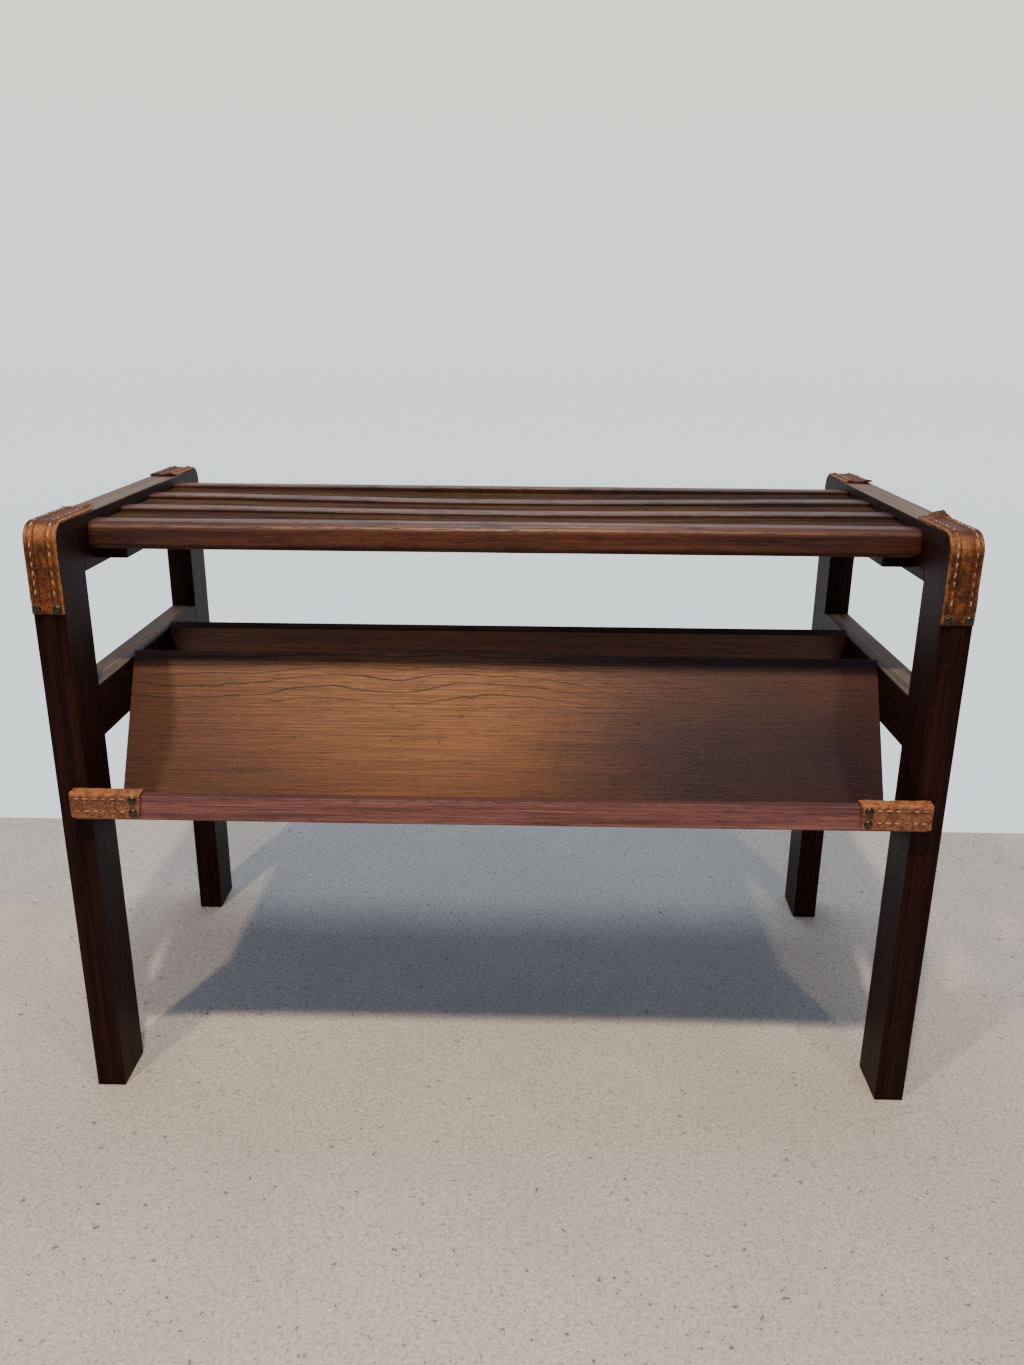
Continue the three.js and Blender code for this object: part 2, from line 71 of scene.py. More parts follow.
SAME_PLACE = 0.2 * MM  # points nearer than this along an axis count as level
GAP = 0.3 * MM  # between the frame's rails and its legs, and between wood and leather
BATTEN_CLEARANCE = Vector((0.6 * MM, 0.3 * MM, 0.3 * MM))  # of the notches that the battens sit in
LEDGE_OVERLAP = 0.8 * MM  # of each ledge into its panel
BOARD_RIP = 17 * MM  # between the cuts across the width of a board
SCREW_HEAD_HEIGHT = 2.0 * MM
ROUND_SEGMENTS = 8  # of a nose or a leg's corner
EASE_SEGMENTS = 4  # of an eased edge or a fold
TORN_CAP = CORNERS.index(("right", "front"))
ARC_HANDLE = 0.5523  # handle of a quarter arc, as a share of its radius

OUTER_SCORE = 3.2 * MM  # from the edge of a cap to the line pressed along it
STITCH_INSET = 5.4 * MM  # from the edge of a corner cap
STITCH_RISE = 0.35 * MM  # middle of the thread above the leather
STITCH_WANDER = 0.12 * MM  # how far the points of a stitch stray
FOLD_RADIUS = 2.4 * MM  # of a rail cap over the edges of its rail
LEATHER_GRID = 2.5 * MM  # of the faces of a rail cap
ROW_HEIGHTS = (0.28, 0.80)  # of the two rows of stitches, as shares of a rail cap's height


# ---------------------------------------------------------------------------------------------
# Properties


def length(name, description, millimetres):
    return FloatProperty(
        name=name, description=description, default=millimetres * MM, unit="LENGTH", precision=5
    )


def angle(name, description, degrees):
    return FloatProperty(
        name=name, description=description, default=math.radians(degrees), unit="ROTATION"
    )


def colour(name, description, default):
    return FloatVectorProperty(
        name=name, description=description, default=default, subtype="COLOR", size=3, min=0.0, soft_max=1.0
    )


class RackWoodSettings(bpy.types.PropertyGroup):
    ease: length("Edge easing", "Radius of the worn edges of legs, rails and boards", 1.3)
    bar_ease: length("Bar easing", "Radius of the top edges of the bars", 1.8)
    nose: length("Nose radius", "Radius of the outward edges of the front and rear bars", 8.0)
    corner: length("Corner radius", "Radius of the outer top corner of each leg", 14.0)
    wobble: length("Wobble", "How far the hand-worked faces stray from flat", 0.35)
    slice: length("Slice", "Distance between the cuts along a piece", 24.0)
    sag: length("Sag", "How far the middle bars and boards hang at half length", 3.0)
    panel_thickness: length("Panel thickness", "Thickness of the sloping panels and their ledges", 9.0)
    panel_slope: angle("Panel slope", "Angle of the panels from upright", 28.3)
    frame_dark: colour("Frame, dark", "Darkest tone of the side frames", (0.0032, 0.0010, 0.0009))
    frame_light: colour("Frame, light", "Lightest tone of the side frames", (0.030, 0.0080, 0.0052))
    top_dark: colour("Board, dark", "Darkest tone of the boards", (0.010, 0.0045, 0.0022))
    top_light: colour("Board, light", "Lightest tone of the boards", (0.110, 0.052, 0.021))
    bar_dark: colour("Bar, dark", "Darkest tone of the bars", (0.020, 0.0048, 0.0018))
    bar_light: colour("Bar, light", "Lightest tone of the bars", (0.165, 0.046, 0.0125))
    panel_dark: colour("Panel, dark", "Darkest tone of the panels", (0.066, 0.023, 0.010))
    panel_light: colour("Panel, light", "Lightest tone of the panels", (0.165, 0.066, 0.026))
    panel_glow: colour("Panel, glow", "Yellow tone about the middle of the panels", (0.355, 0.158, 0.056))
    rail_dark: colour("Rail, dark", "Darkest tone of the rails", (0.082, 0.027, 0.027))
    rail_light: colour("Rail, light", "Lightest tone of the rails", (0.37, 0.150, 0.130))
    # Painted sheen as well as dust: this grey also stands in for the reflection off the rails' flat tops.
    dust_and_sheen: colour("Dust", "Grey film on the tops of the frame's rails", (0.17, 0.132, 0.105))
    # This tone also serves as the painted shade on the rails' top faces.
    stain: colour("Stain", "Tone of the old stains and the purple bloom in the polish", (0.045, 0.018, 0.026))


class RackLeatherSettings(bpy.types.PropertyGroup):
    thickness: length("Leather thickness", "Thickness of the caps", 2.2)
    border: length("Border", "Width of the stitched border of a corner cap", 8.0)
    stitch_pitch: length("Stitch pitch", "From one stitch to the next", 7.6)
    stitch_length: length("Stitch length", "Length of one stitch", 5.0)
    thread: length("Thread", "Thickness of the thread", 1.25)
    tack_radius: length("Tack radius", "Radius of a tack head", 3.6)
    tack_dome: length("Tack dome", "Height of a tack head", 2.2)
    tan: colour("Tan", "Clean leather", (0.235, 0.080, 0.021))
    dark: colour("Dark", "Soiled leather", (0.045, 0.014, 0.007))
    worn: colour("Worn", "Leather rubbed pale", (0.42, 0.19, 0.065))
    faded: colour("Faded", "Leather bleached on the rail caps", (0.38, 0.165, 0.108))
    thread_colour: colour("Thread colour", "Waxed linen thread", (0.46, 0.35, 0.22))
    tack_colour: colour("Tack colour", "Darkened tack metal", (0.085, 0.08, 0.065))
    screw_colour: colour("Screw colour", "Aged brass", (0.36, 0.25, 0.10))


class RackStageSettings(bpy.types.PropertyGroup):
    eye: FloatVectorProperty(
        name="Eye", description="Where the camera stands", default=(0.0241, -1.0074, 0.6752),
        subtype="TRANSLATION", size=3,
    )
    pitch: angle("Pitch", "How far the camera looks down from level", 18.34)
    yaw: angle("Yaw", "How far the camera is turned to the left", 0.977)
    roll: angle("Roll", "How far the camera is turned about its view", 0.467)
    lens: FloatProperty(
        name="Lens", description="Focal length on a 36 mm frame", default=28.07, unit="CAMERA"
    )
    wall: length("Wall line", "How far behind the rack's middle the floor ends", 378.0)
    floor_colour: colour("Floor colour", "Pale floor", (0.77, 0.735, 0.695))
    backdrop_low: colour("Backdrop, low", "Foot of the backdrop", (1.15, 1.25, 1.32))
    backdrop_high: colour("Backdrop, high", "Top of the backdrop", (1.32, 1.32, 1.18))
    wall_colour: colour("Wall light", "Light from behind the rack", (0.90, 0.95, 1.02))
    room_colour: colour("Room light", "Light from in front of the rack", (0.15, 0.215, 0.36))
    ceiling_colour: colour("Ceiling light", "Light from overhead", (0.14, 0.18, 0.26))


# ---------------------------------------------------------------------------------------------
# Shading


class Value:
    """An output socket that takes part in arithmetic. Each operation adds one Math node."""

    def __init__(self, shader, socket):
        self.shader = shader
        self.socket = socket

    def math(self, operation, *operands):
        return self.shader.add("ShaderNodeMath", {"operation": operation}, dict(enumerate(operands)))

    def __add__(self, other):
        return self.math("ADD", self, other)

    __radd__ = __add__

    def __mul__(self, other):
        return self.math("MULTIPLY", self, other)

    __rmul__ = __mul__

    def __sub__(self, other):
        return self.math("SUBTRACT", self, other)

    def __rsub__(self, other):
        return self.math("SUBTRACT", other, self)

    def __truediv__(self, other):
        return self.math("DIVIDE", self, other)

    def __rtruediv__(self, other):
        return self.math("DIVIDE", other, self)

    def __abs__(self):
        return self.math("ABSOLUTE", self)

    def high(self, other):
        return self.math("MAXIMUM", self, other)

    def fraction(self):
        return self.math("FRACT", self)

    def root(self):
        return self.math("SQRT", self)

    def step(self, start, end, low=0.0, high=1.0):
        """Goes smoothly from low to high as the value goes from start to end."""
        names = ("Value", "From Min", "From Max", "To Min", "To Max")
        values = dict(zip(names, (self, start, end, low, high)))
        return self.shader.add("ShaderNodeMapRange", {"interpolation_type": "SMOOTHSTEP"}, values)


class Shader:
    """The nodes of one material or world."""

    def __init__(self, owner):
        owner.use_nodes = True
        self.owner = owner
        self.tree = owner.node_tree
        self.tree.nodes.clear()

    @classmethod
    def material(cls, name):
        return cls(bpy.data.materials.new(name))

    def node(self, kind, settings=None, inputs=None):
        """Adds a node, sets its settings and then its sockets, by name or by number."""
        node = self.tree.nodes.new(kind)
        for name, setting in (settings or {}).items():
            setattr(node, name, setting)
        for key, value in (inputs or {}).items():
            if isinstance(value, Value):
                self.tree.links.new(value.socket, node.inputs[key])
            else:
                node.inputs[key].default_value = value
        return node

    def add(self, kind, settings=None, inputs=None, output=0):
        return Value(self, self.node(kind, settings, inputs).outputs[output])

    def place(self, offset=(0, 0, 0), turn=(0, 0, 0)):
        """Object coordinates, turned, then moved."""
        return self.map(self.add("ShaderNodeTexCoord", output="Object"), offset, turn)

    def map(self, vector, offset=(0, 0, 0), turn=(0, 0, 0), scale=(1, 1, 1)):
        inputs = {"Vector": vector, "Location": offset, "Rotation": turn, "Scale": scale}
        return self.add("ShaderNodeMapping", None, inputs)

    def split(self, vector):
        node = self.node("ShaderNodeSeparateXYZ", None, {0: vector})
        return [Value(self, socket) for socket in node.outputs]

    def noise(self, vector, scale, detail=2.0, roughness=0.5, distortion=0.0):
        inputs = {
            "Vector": vector,
            "Scale": scale,
            "Detail": detail,
            "Roughness": roughness,
            "Distortion": distortion,
        }
        return self.add("ShaderNodeTexNoise", None, inputs)

    def cells(self, vector, scale, feature="F1"):
        inputs = {"Vector": vector, "Scale": scale}
        return self.add("ShaderNodeTexVoronoi", {"feature": feature}, inputs, "Distance")

    def distance(self, vector, point):
        inputs = {0: vector, 1: point}
        return self.add("ShaderNodeVectorMath", {"operation": "DISTANCE"}, inputs, "Value")

    def mix(self, factor, first, second, blend="MIX"):
        """Mixes two colours. Each is three numbers or a Value."""
        first, second = (
            tone if isinstance(tone, Value) else (*tone, 1.0) for tone in (first, second)
        )
        settings = {"data_type": "RGBA", "blend_type": blend, "clamp_factor": True}
        return self.add("ShaderNodeMix", settings, {0: factor, 6: first, 7: second}, 2)

    def bump(self, height, strength, distance):
        inputs = {"Height": height, "Strength": strength, "Distance": distance}
        return self.add("ShaderNodeBump", None, inputs)

    def surface(self, **sockets):
        """Ends the material in a Principled shader. Underscores in the names stand for spaces."""
        inputs = {name.replace("_", " "): value for name, value in sockets.items()}
        shader = self.add("ShaderNodeBsdfPrincipled", None, inputs)
        return self.end("ShaderNodeOutputMaterial", shader)

    def end(self, kind, shader):
        """Adds the output node and hands back the finished material or world."""
        self.node(kind, None, {"Surface": shader})
        return self.owner


GRAIN_TURNS = {
    "x": (0.0, 0.0, 0.0),
    "y": (0.0, 0.0, -QUARTER),
    "z": (0.0, QUARTER, 0.0),
}


class Wood:
    """The fields that every wood here shares, in a frame whose X runs along the grain."""

    def __init__(self, name, seed, turn=GRAIN_TURNS["x"], offset=(0.0, 0.0, 0.0)):
        self.shader = Shader.material(name)
        self.here = self.shader.place(offset, turn)
        self.vector = self.shader.map(self.here, (seed * 1.7, seed * 0.9, seed * 1.3))
        self.along, self.across, self.depth = self.shader.split(self.here)

    def stretched(self, along, across, detail=2.0, roughness=0.5, distortion=0.0):
        """Noise drawn out along the grain. The scales are features per metre."""
        vector = self.shader.map(self.vector, scale=(along, across, across))
        return self.shader.noise(vector, 1.0, detail, roughness, distortion)

    def fibres(self):
        return self.stretched(14.0, 850.0, 3.0, 0.65)

    def streaks(self):
        return self.stretched(5.0, 240.0, 3.0, 0.6)

    def patches(self):
        return self.shader.noise(self.vector, 7.0, 3.0, 0.55)

    def pores(self):
        return self.stretched(60.0, 1500.0, 1.0, 0.5).step(0.60, 0.70)


def frame_wood(name, grain, seed, dust_and_sheen_top=None):
    """Side frames: nearly black hardwood with a red glow, fine straight grain and a hand polish.

    The last argument is the height of an upward face painted grey: partly a film of dust and wear, partly a
    painted sheen for the reflection off the flat top.
    """
    settings = bpy.context.scene.rack_wood
    wood = Wood(name, seed, GRAIN_TURNS[grain])
    s = wood.shader
    fibres, streaks, patches = wood.fibres(), wood.streaks(), wood.patches()
    pores = wood.pores()
    figure = (fibres * 0.55 + streaks * 0.7).step(0.4, 0.85)
    tone = s.mix(figure, settings.frame_dark, settings.frame_light)
    tone = s.mix(patches.step(0.45, 0.75, 0.0, 0.4), tone, settings.frame_dark)
    tone = s.mix(pores * 0.6, tone, settings.frame_dark)
    scuffs = s.noise(wood.vector, 70.0, 5.0, 0.75).step(0.66, 0.72) * patches.step(0.45, 0.65)
    tone = s.mix(scuffs * 0.5, tone, settings.bar_light)
    # Painted sheen and dust: the flat upward face is painted grey, both for its dust and for the reflection
    # it shows.
    if dust_and_sheen_top:
        upward = wood.depth.step(dust_and_sheen_top - 1.4 * MM, dust_and_sheen_top - 0.5 * MM)
        dust_and_sheen_film = upward * (fibres + streaks).step(0.7, 1.3, 0.35, 0.95)
        tone = s.mix(dust_and_sheen_film, tone, settings.dust_and_sheen)
    rough = fibres * 0.14 + patches * 0.18 + scuffs * 0.2 + pores * 0.1 + 0.38
    normal = s.bump(fibres * 0.7 - pores * 0.9 - scuffs * 0.4, 0.5, 0.0003)
    return s.surface(
        Base_Color=tone,
        Roughness=rough,
        Normal=normal,
        Specular_IOR_Level=0.13,
        Specular_Tint=(1.0, 0.76, 0.68, 1.0),
    )


def top_wood(name, seed, polish, grooves=None):
    """Bars and boards: open-grained brown wood in fine streaks.

    Polish is 0 for the dull boards and more for the bars. Grooves are the lowest and highest Y of a
    bar, each None on a side with a nose. Painted shade darkens the bar's side faces there, where they
    stand above the boards.
    """
    settings = bpy.context.scene.rack_wood
    wood = Wood(name, seed)
    s = wood.shader
    fibres, streaks, patches = wood.fibres(), wood.streaks(), wood.patches()
    figure = wood.stretched(2.2, 45.0, 4.0, 0.6, 0.4)
    bands = wood.stretched(4.0, 130.0, 2.0, 0.6)
    dark = settings.bar_dark if polish else settings.top_dark
    light = settings.bar_light if polish else settings.top_light
    tone = s.mix((fibres * 0.45 + streaks * 0.45 + figure * 0.45).step(0.42, 0.92), dark, light)
    lines = abs(figure - 0.5).step(0.035, 0.0) * patches.step(0.35, 0.6)
    tone = s.mix(lines * 0.55, tone, settings.frame_dark)
    tone = s.mix(bands.step(0.50, 0.60) * (0.75 - 0.55 * polish), tone, settings.top_dark)
    mottle = wood.stretched(28.0, 75.0, 4.0, 0.65).step(0.50, 0.66)
    tone = s.mix(mottle * (0.15 + 0.55 * polish), tone, settings.bar_dark)
    tone = s.mix(patches.step(0.48, 0.8, 0.0, 0.45), tone, settings.stain)
    aged = (wood.along + (patches - 0.5) * 0.25).step(0.02, 0.34)
    tone = s.mix(aged * 0.8, tone, (0.52, 0.45, 0.68), "MULTIPLY")
    pores = wood.pores()
    tone = s.mix(pores * 0.75, tone, settings.frame_dark)
    dents = s.noise(wood.vector, 38.0, 2.0, 0.5).step(0.70, 0.78)
    rough = fibres * 0.14 + patches * 0.12 + pores * 0.2 + mottle * 0.1 + (0.52 - 0.34 * polish)
    for side, y in zip((1, -1), grooves or ()):
        if y is not None:
            # Painted shade on the bar's side face, where it stands above the board next to it.
            grime_and_shade = ((wood.across - y) * side).step(0.8 * MM, -0.2 * MM)
            tone = s.mix(grime_and_shade * 0.85, tone, settings.frame_dark)
            rough = rough + grime_and_shade * 0.4
    height = fibres * 0.8 + streaks * 0.6 - pores * 1.2 - lines * 0.4 - dents * 1.5
    normal = s.bump(height, 0.7 - 0.35 * polish, 0.0004)
    shine = 0.04 + 0.46 * polish
    return s.surface(Base_Color=tone, Roughness=rough, Normal=normal, Specular_IOR_Level=shine)


def panel_wood(name, seed, facing, turn, offset):
    """Panels and ledges: fine-grained veneer with a cathedral figure and an old dark stain.

    The grain's frame has Y down the panel from its upper edge and Z through it. Facing is 1 for the
    front pieces and -1 for the rear ones, so that Z times facing is the depth below the outer face.
    """
    settings = bpy.context.scene.rack_wood
    wood = Wood(name, seed, turn, offset)
    s = wood.shader
    fibres, patches = wood.fibres(), wood.patches()
    broad = wood.stretched(2.5, 16.0, 3.0, 0.5)
    lines = wood.stretched(6.0, 620.0, 3.0, 0.7)
    # A yellower, lighter middle.
    glow = s.distance(s.map(wood.here, scale=(0.42, 1.0, 0.0)), (-0.030, 0.040, 0.0)).step(0.13, 0.02)
    light = s.mix(glow, settings.panel_light, settings.panel_glow)
    grain = (lines * 0.75 + fibres * 0.55 + broad * 0.15).step(0.50, 0.95, 0.16, 1.0)
    tone = s.mix(grain, settings.panel_dark, light)
    # The figure: flattened rings round a line below the upper edge, which fade to both sides and downwards.
    ring_along, ring_down, flatness, ring_spacing = -0.11, 0.082, 0.12, 8.0 * MM
    wave = wood.stretched(7.0, 14.0, 1.5)
    tremor = wood.stretched(60.0, 60.0, 2.0)
    along = (wood.along - ring_along) * flatness
    across = wood.across - ring_down + (wave - 0.5) * 0.044 + (tremor - 0.5) * 0.003
    radius = (along * along + across * across).root()
    ring = (radius / ring_spacing).fraction()
    shown = wood.across.step(0.065, 0.035) * abs(wood.along + 0.13).step(0.30, 0.16)
    figure = ring.step(0.80, 0.95) * ring.step(1.0, 0.95) * shown
    tone = s.mix(figure, tone, settings.top_dark)
    # The right half has darkened, most of all in one purple bloom.
    aged = (wood.along + (broad - 0.5) * 0.12 + (patches - 0.5) * 0.25).step(-0.06, 0.13)
    tone = s.mix(aged, tone, (0.50, 0.45, 0.78), "MULTIPLY")
    # Painted shadow: the left end is darker towards its foot, but less so than the right half, for the shadow
    # that the left side frame casts there.
    left_end_shadow = wood.along.step(-0.05, -0.30) * wood.across.step(-0.06, 0.10)
    tone = s.mix(left_end_shadow * 0.7, tone, (0.62, 0.62, 0.90), "MULTIPLY")
    spread = s.distance(s.map(wood.here, scale=(0.55, 1.0, 0.0)), (0.130, 0.112, 0.0))
    stain = (spread + (patches - 0.5) * 0.16).step(0.105, 0.02)
    tone = s.mix(stain, tone, (0.42, 0.44, 0.95), "MULTIPLY")
    pores = wood.stretched(45.0, 1400.0, 2.0, 0.6).step(0.54, 0.68)
    tone = s.mix(pores * 0.6, tone, settings.bar_dark)
    # Painted shade: the faces that the two panels turn to each other lie in shade under the top, and are
    # painted a darker, redder tone.
    inside = (wood.depth * facing).step(5 * MM, 8 * MM)
    shaded_inner_tone = s.mix((fibres + lines).step(0.7, 1.3), settings.bar_dark, settings.bar_light)
    tone = s.mix(inside * 0.9, tone, shaded_inner_tone)
    spots = s.noise(wood.vector, 90.0, 1.0).step(0.76, 0.80)
    tone = s.mix(spots * 0.6, tone, settings.stain)
    rough = fibres * 0.12 + patches * 0.12 + pores * 0.15 + 0.34
    normal = s.bump(fibres * 0.7 - pores - figure * 0.5, 0.4, 0.0003)
    return s.surface(Base_Color=tone, Roughness=rough, Normal=normal, Specular_IOR_Level=0.45)


def rail_wood(name, seed, top):
    """Front and rear rails: pinkish brown, with short pore lines and painted shade darkening the top face at
    that height.
    """
    settings = bpy.context.scene.rack_wood
    wood = Wood(name, seed)
    s = wood.shader
    fibres, streaks, patches = wood.fibres(), wood.streaks(), wood.patches()
    grain = (fibres * 0.6 + streaks * 0.5).step(0.38, 0.80)
    tone = s.mix(grain, settings.rail_dark, settings.rail_light)
    tone = s.mix(patches.step(0.45, 0.8, 0.0, 0.25), tone, settings.panel_light)
    pores = wood.stretched(80.0, 1300.0, 2.0, 0.6, 0.5).step(0.52, 0.64)
    tone = s.mix(pores * 0.5, tone, settings.stain)
    # Painted shade darkens the top face and its rounded edge.
    dirt_and_shade = wood.depth.step(top - 1.8 * MM, top - 0.8 * MM)
    tone = s.mix(dirt_and_shade * 0.7, tone, settings.stain)
    rough = fibres * 0.15 + patches * 0.1 + pores * 0.2 + 0.34
    normal = s.bump(fibres * 0.8 - pores * 1.1, 0.5, 0.0003)
    return s.surface(Base_Color=tone, Roughness=rough, Normal=normal, Specular_IOR_Level=0.45)


def leather_finish(name, seed, tacks, strap, wear=0.0, grime_and_shade=0.0):
    """Tan saddle leather, soiled in patches, rubbed pale where it bends and round its tacks.

    A strap is the axis across it, its middle and half width along that axis, its border, and its top
    in Z. It has a darker middle field, a soiled top and a rubbed bend. Wear bleaches it, and grime
    darkens it.
    """
    settings = bpy.context.scene.rack_leather
    s = Shader.material(name)
    place = s.place()
    x, _, z = s.split(place)
    here = s.map(place, (seed * 0.31, seed * 0.17, seed * 0.23))
    blotches = s.noise(here, 65.0, 5.0, 0.68)
    fine = s.noise(here, 480.0, 3.0, 0.65)
    grain = s.cells(here, 1000.0)
    cracks = s.cells(s.map(here, scale=(1.0, 0.5, 0.5)), 240.0, "DISTANCE_TO_EDGE")
    axis, middle, half, border, top = strap
    edge = abs((x if axis == "x" else z) - middle)
    field = edge.step(half - border + 0.6 * MM, half - border - 0.6 * MM)
    inner_line = abs(edge - (half - border)).step(0.9 * MM, 0.2 * MM)
    outer_line = abs(edge - (half - OUTER_SCORE)).step(0.7 * MM, 0.0)
    lines = inner_line.high(outer_line)
    specks = s.noise(here, 260.0, 3.0, 0.7).step(0.56, 0.62, 0.0, 0.8)
    soiled = (blotches * 0.8 + fine * 0.3).step(0.46, 0.62)
    soiled = soiled.high(z.step(top - 4 * MM, top - 1 * MM, 0.0, 0.8))
    soiled = soiled.high(field * 0.10 * (1.0 - wear)).high(specks * (1.0 - field))
    soiled = soiled.high(lines * 0.95) * (1.0 - wear * 0.3)
    bend = z.step(top - 2 * MM, top - 6 * MM) * z.step(top - 22 * MM, top - 10 * MM)
    rim = edge.step(half - 1.6 * MM, half - 0.2 * MM)
    rubbed = (fine * 0.55 + blotches * 0.5).step(0.56, 0.68, 0.0, 0.5)
    rubbed = rubbed.high(bend * (fine * 0.7 + 0.30)).high(rim * 0.6)
    rubbed = rubbed.high(fine.step(0.35, 0.65) * wear) * (1.0 - lines * 0.8)
    tone = s.mix(soiled, settings.tan, settings.dark)
    tone = s.mix(rubbed, tone, settings.worn)
    tone = s.mix((blotches + fine).step(0.80, 1.15, 0.2, 0.9) * wear, tone, settings.faded)
    dirt_and_shade = s.noise(here, 170.0, 4.0, 0.7).step(0.46, 0.58) * max(wear, grime_and_shade)
    tone = s.mix(dirt_and_shade * 0.85, tone, settings.dark)
    tone = s.mix(grime_and_shade * 0.3, tone, settings.dark)
    ring = None
    for tack in tacks:
        halo = s.distance(place, tuple(tack)).step(0.0062, 0.0038)
        ring = ring.high(halo) if ring else halo
    tone = s.mix(ring * (fine * 0.6 + 0.4), tone, settings.worn)
    tone = s.mix(cracks.step(0.05, 0.0) * 0.5, tone, settings.dark)
    rough = fine * 0.2 + blotches * 0.2 + 0.36
    height = grain * 0.5 + fine * 0.9 + cracks.step(0.0, 0.10) * 0.7 + blotches * 1.2
    normal = s.bump(height, 0.8, 0.0004)
    return s.surface(Base_Color=tone, Roughness=rough, Normal=normal, Specular_IOR_Level=0.2)


def thread(name):
    """Waxed linen, twisted and grubby."""
    settings = bpy.context.scene.rack_leather
    s = Shader.material(name)
    here = s.place()
    grime_and_shade = s.noise(here, 90.0, 3.0)
    tone = s.mix(grime_and_shade.step(0.38, 0.60, 0.0, 0.9), settings.thread_colour, settings.tan)
    twist = s.noise(here, 2500.0, 1.0)
    rough = grime_and_shade * 0.2 + 0.6
    return s.surface(Base_Color=tone, Roughness=rough, Normal=s.bump(twist, 0.5, 0.0002))


def metal(name, tone, dull):
    """Old metal: dark in tarnished patches, scratched and patchy in its shine."""
    s = Shader.material(name)
    here = s.place()
    tarnish = s.noise(here, 350.0, 4.0, 0.6)
    fine = s.noise(here, 1600.0, 2.0)
    dark = tuple(channel * 0.22 for channel in tone)
    tint = s.mix(tarnish.step(0.4, 0.7), tone, dark)
    normal = s.bump(tarnish + fine * 0.3, 0.5, 0.0003)
    rough = tarnish * 0.3 + fine * 0.1 + dull
    bare = tarnish.step(0.75, 0.45, 0.75, 1.0)
    return s.surface(Base_Color=tint, Metallic=bare, Roughness=rough, Normal=normal)


# ---------------------------------------------------------------------------------------------
# Modelling


def activate(*pieces):
    """Selects only these objects, and makes the first the active one."""
    bpy.ops.object.select_all(action="DESELECT")
    for piece in pieces:
        piece.select_set(True)
    bpy.context.view_layer.objects.active = pieces[0]


def apply_place(piece):
    activate(piece)
    bpy.ops.object.transform_apply(location=True, rotation=True, scale=True)


def block(name, low, high):
    """A cube shaped to the box between two corners."""
    size = [end - start for start, end in zip(low, high)]
    centre = [(end + start) / 2 for start, end in zip(low, high)]
    bpy.ops.object.select_all(action="DESELECT")
    bpy.ops.mesh.primitive_cube_add(size=1.0, location=centre, scale=size)
    piece = bpy.context.object
    piece.name = name
    apply_place(piece)
    return piece


def pick(piece, kind, test):
    """Goes into edit mode with what passes the test selected.

    An edge or face passes when all its corners do.
    """
    activate(piece)
    bpy.ops.object.mode_set(mode="EDIT")
    bpy.ops.mesh.select_mode(type=kind)
    bpy.ops.mesh.select_all(action="DESELECT")
    bpy.ops.object.mode_set(mode="OBJECT")
    mesh = piece.data
    if kind == "VERT":
        for vertex in mesh.vertices:
            vertex.select = test(vertex.co)
    else:
        for item in mesh.edges if kind == "EDGE" else mesh.polygons:
            item.select = all(test(mesh.vertices[index].co) for index in item.vertices)
    bpy.ops.object.mode_set(mode="EDIT")


def done():
    bpy.ops.object.mode_set(mode="OBJECT")


def slices(piece, axis, places):
    """Cuts new edge loops across a piece at places along an axis."""
    index = AXES[axis]
    normal = [0.0, 0.0, 0.0]
    normal[index] = 1.0
    activate(piece)
    bpy.ops.object.mode_set(mode="EDIT")
    for place in places:
        point = [0.0, 0.0, 0.0]
        point[index] = place
        bpy.ops.mesh.select_all(action="SELECT")
        bpy.ops.mesh.bisect(plane_co=point, plane_no=normal, use_fill=False)
    done()


def evenly(start, end, step):
    """Places between start and end, about a step apart, without the ends."""
    count = max(2, round(abs(end - start) / step))
    return [start + (end - start) * index / count for index in range(1, count)]


def modify(piece, kind, **settings):
    """Adds a modifier and applies it."""
    modifier = piece.modifiers.new(kind.title(), kind)
    for name, value in settings.items():
        setattr(modifier, name, value)
    activate(piece)
    bpy.ops.object.modifier_apply(modifier=modifier.name)


def wobble(piece, size, strength):
    """Lets the faces stray from flat, as hand-worked ones do. Size is that of the hills in them."""
    texture = bpy.data.textures.new(piece.name + "_wobble", "CLOUDS")
    texture.noise_scale = size
    texture.noise_depth = 1
    modify(
        piece, "DISPLACE", texture=texture, texture_coords="LOCAL", direction="NORMAL",
        strength=strength, mid_level=0.5,
    )


def soften(piece, width, segments=3):
    """Rounds the sharp edges and keeps the faces between them flat."""
    activate(piece)
    bpy.ops.object.shade_smooth()
    modify(
        piece, "BEVEL", width=width, segments=segments, limit_method="ANGLE",
        angle_limit=math.radians(40), harden_normals=True, miter_outer="MITER_ARC",
    )


def round_edges(piece, test, radius, segments):
    """Rounds the edges whose ends pass the test."""
    pick(piece, "EDGE", test)
    bpy.ops.mesh.bevel(
        offset=radius, offset_type="OFFSET", segments=segments, profile=0.5, affect="EDGES"
    )
    done()


def near(value, target):
    return abs(value - target) < SAME_PLACE


def everywhere(co):
    """A test that every place passes."""
    return True


def shift(piece, test, by, **proportional):
    """Moves the vertices that pass the test."""
    pick(piece, "VERT", test)
    bpy.ops.transform.translate(value=by, **proportional)
    done()


def lift(piece, test, by, reach, connected=True):
    """Moves the vertices that pass the test, and those within reach of them ever less."""
    shift(
        piece, test, by, use_proportional_edit=True, proportional_edit_falloff="SMOOTH",
        proportional_size=reach, use_proportional_connected=connected,
    )


def scatter(piece, test, offset, **settings):
    """Moves each vertex that passes the test a little at random."""
    pick(piece, "VERT", test)
    bpy.ops.transform.vertex_random(offset=offset, **settings)
    done()


def joined(parts, name):
    """Makes one piece of several."""
    activate(*parts)
    bpy.ops.object.join()
    piece = bpy.context.object
    piece.name = name
    return piece


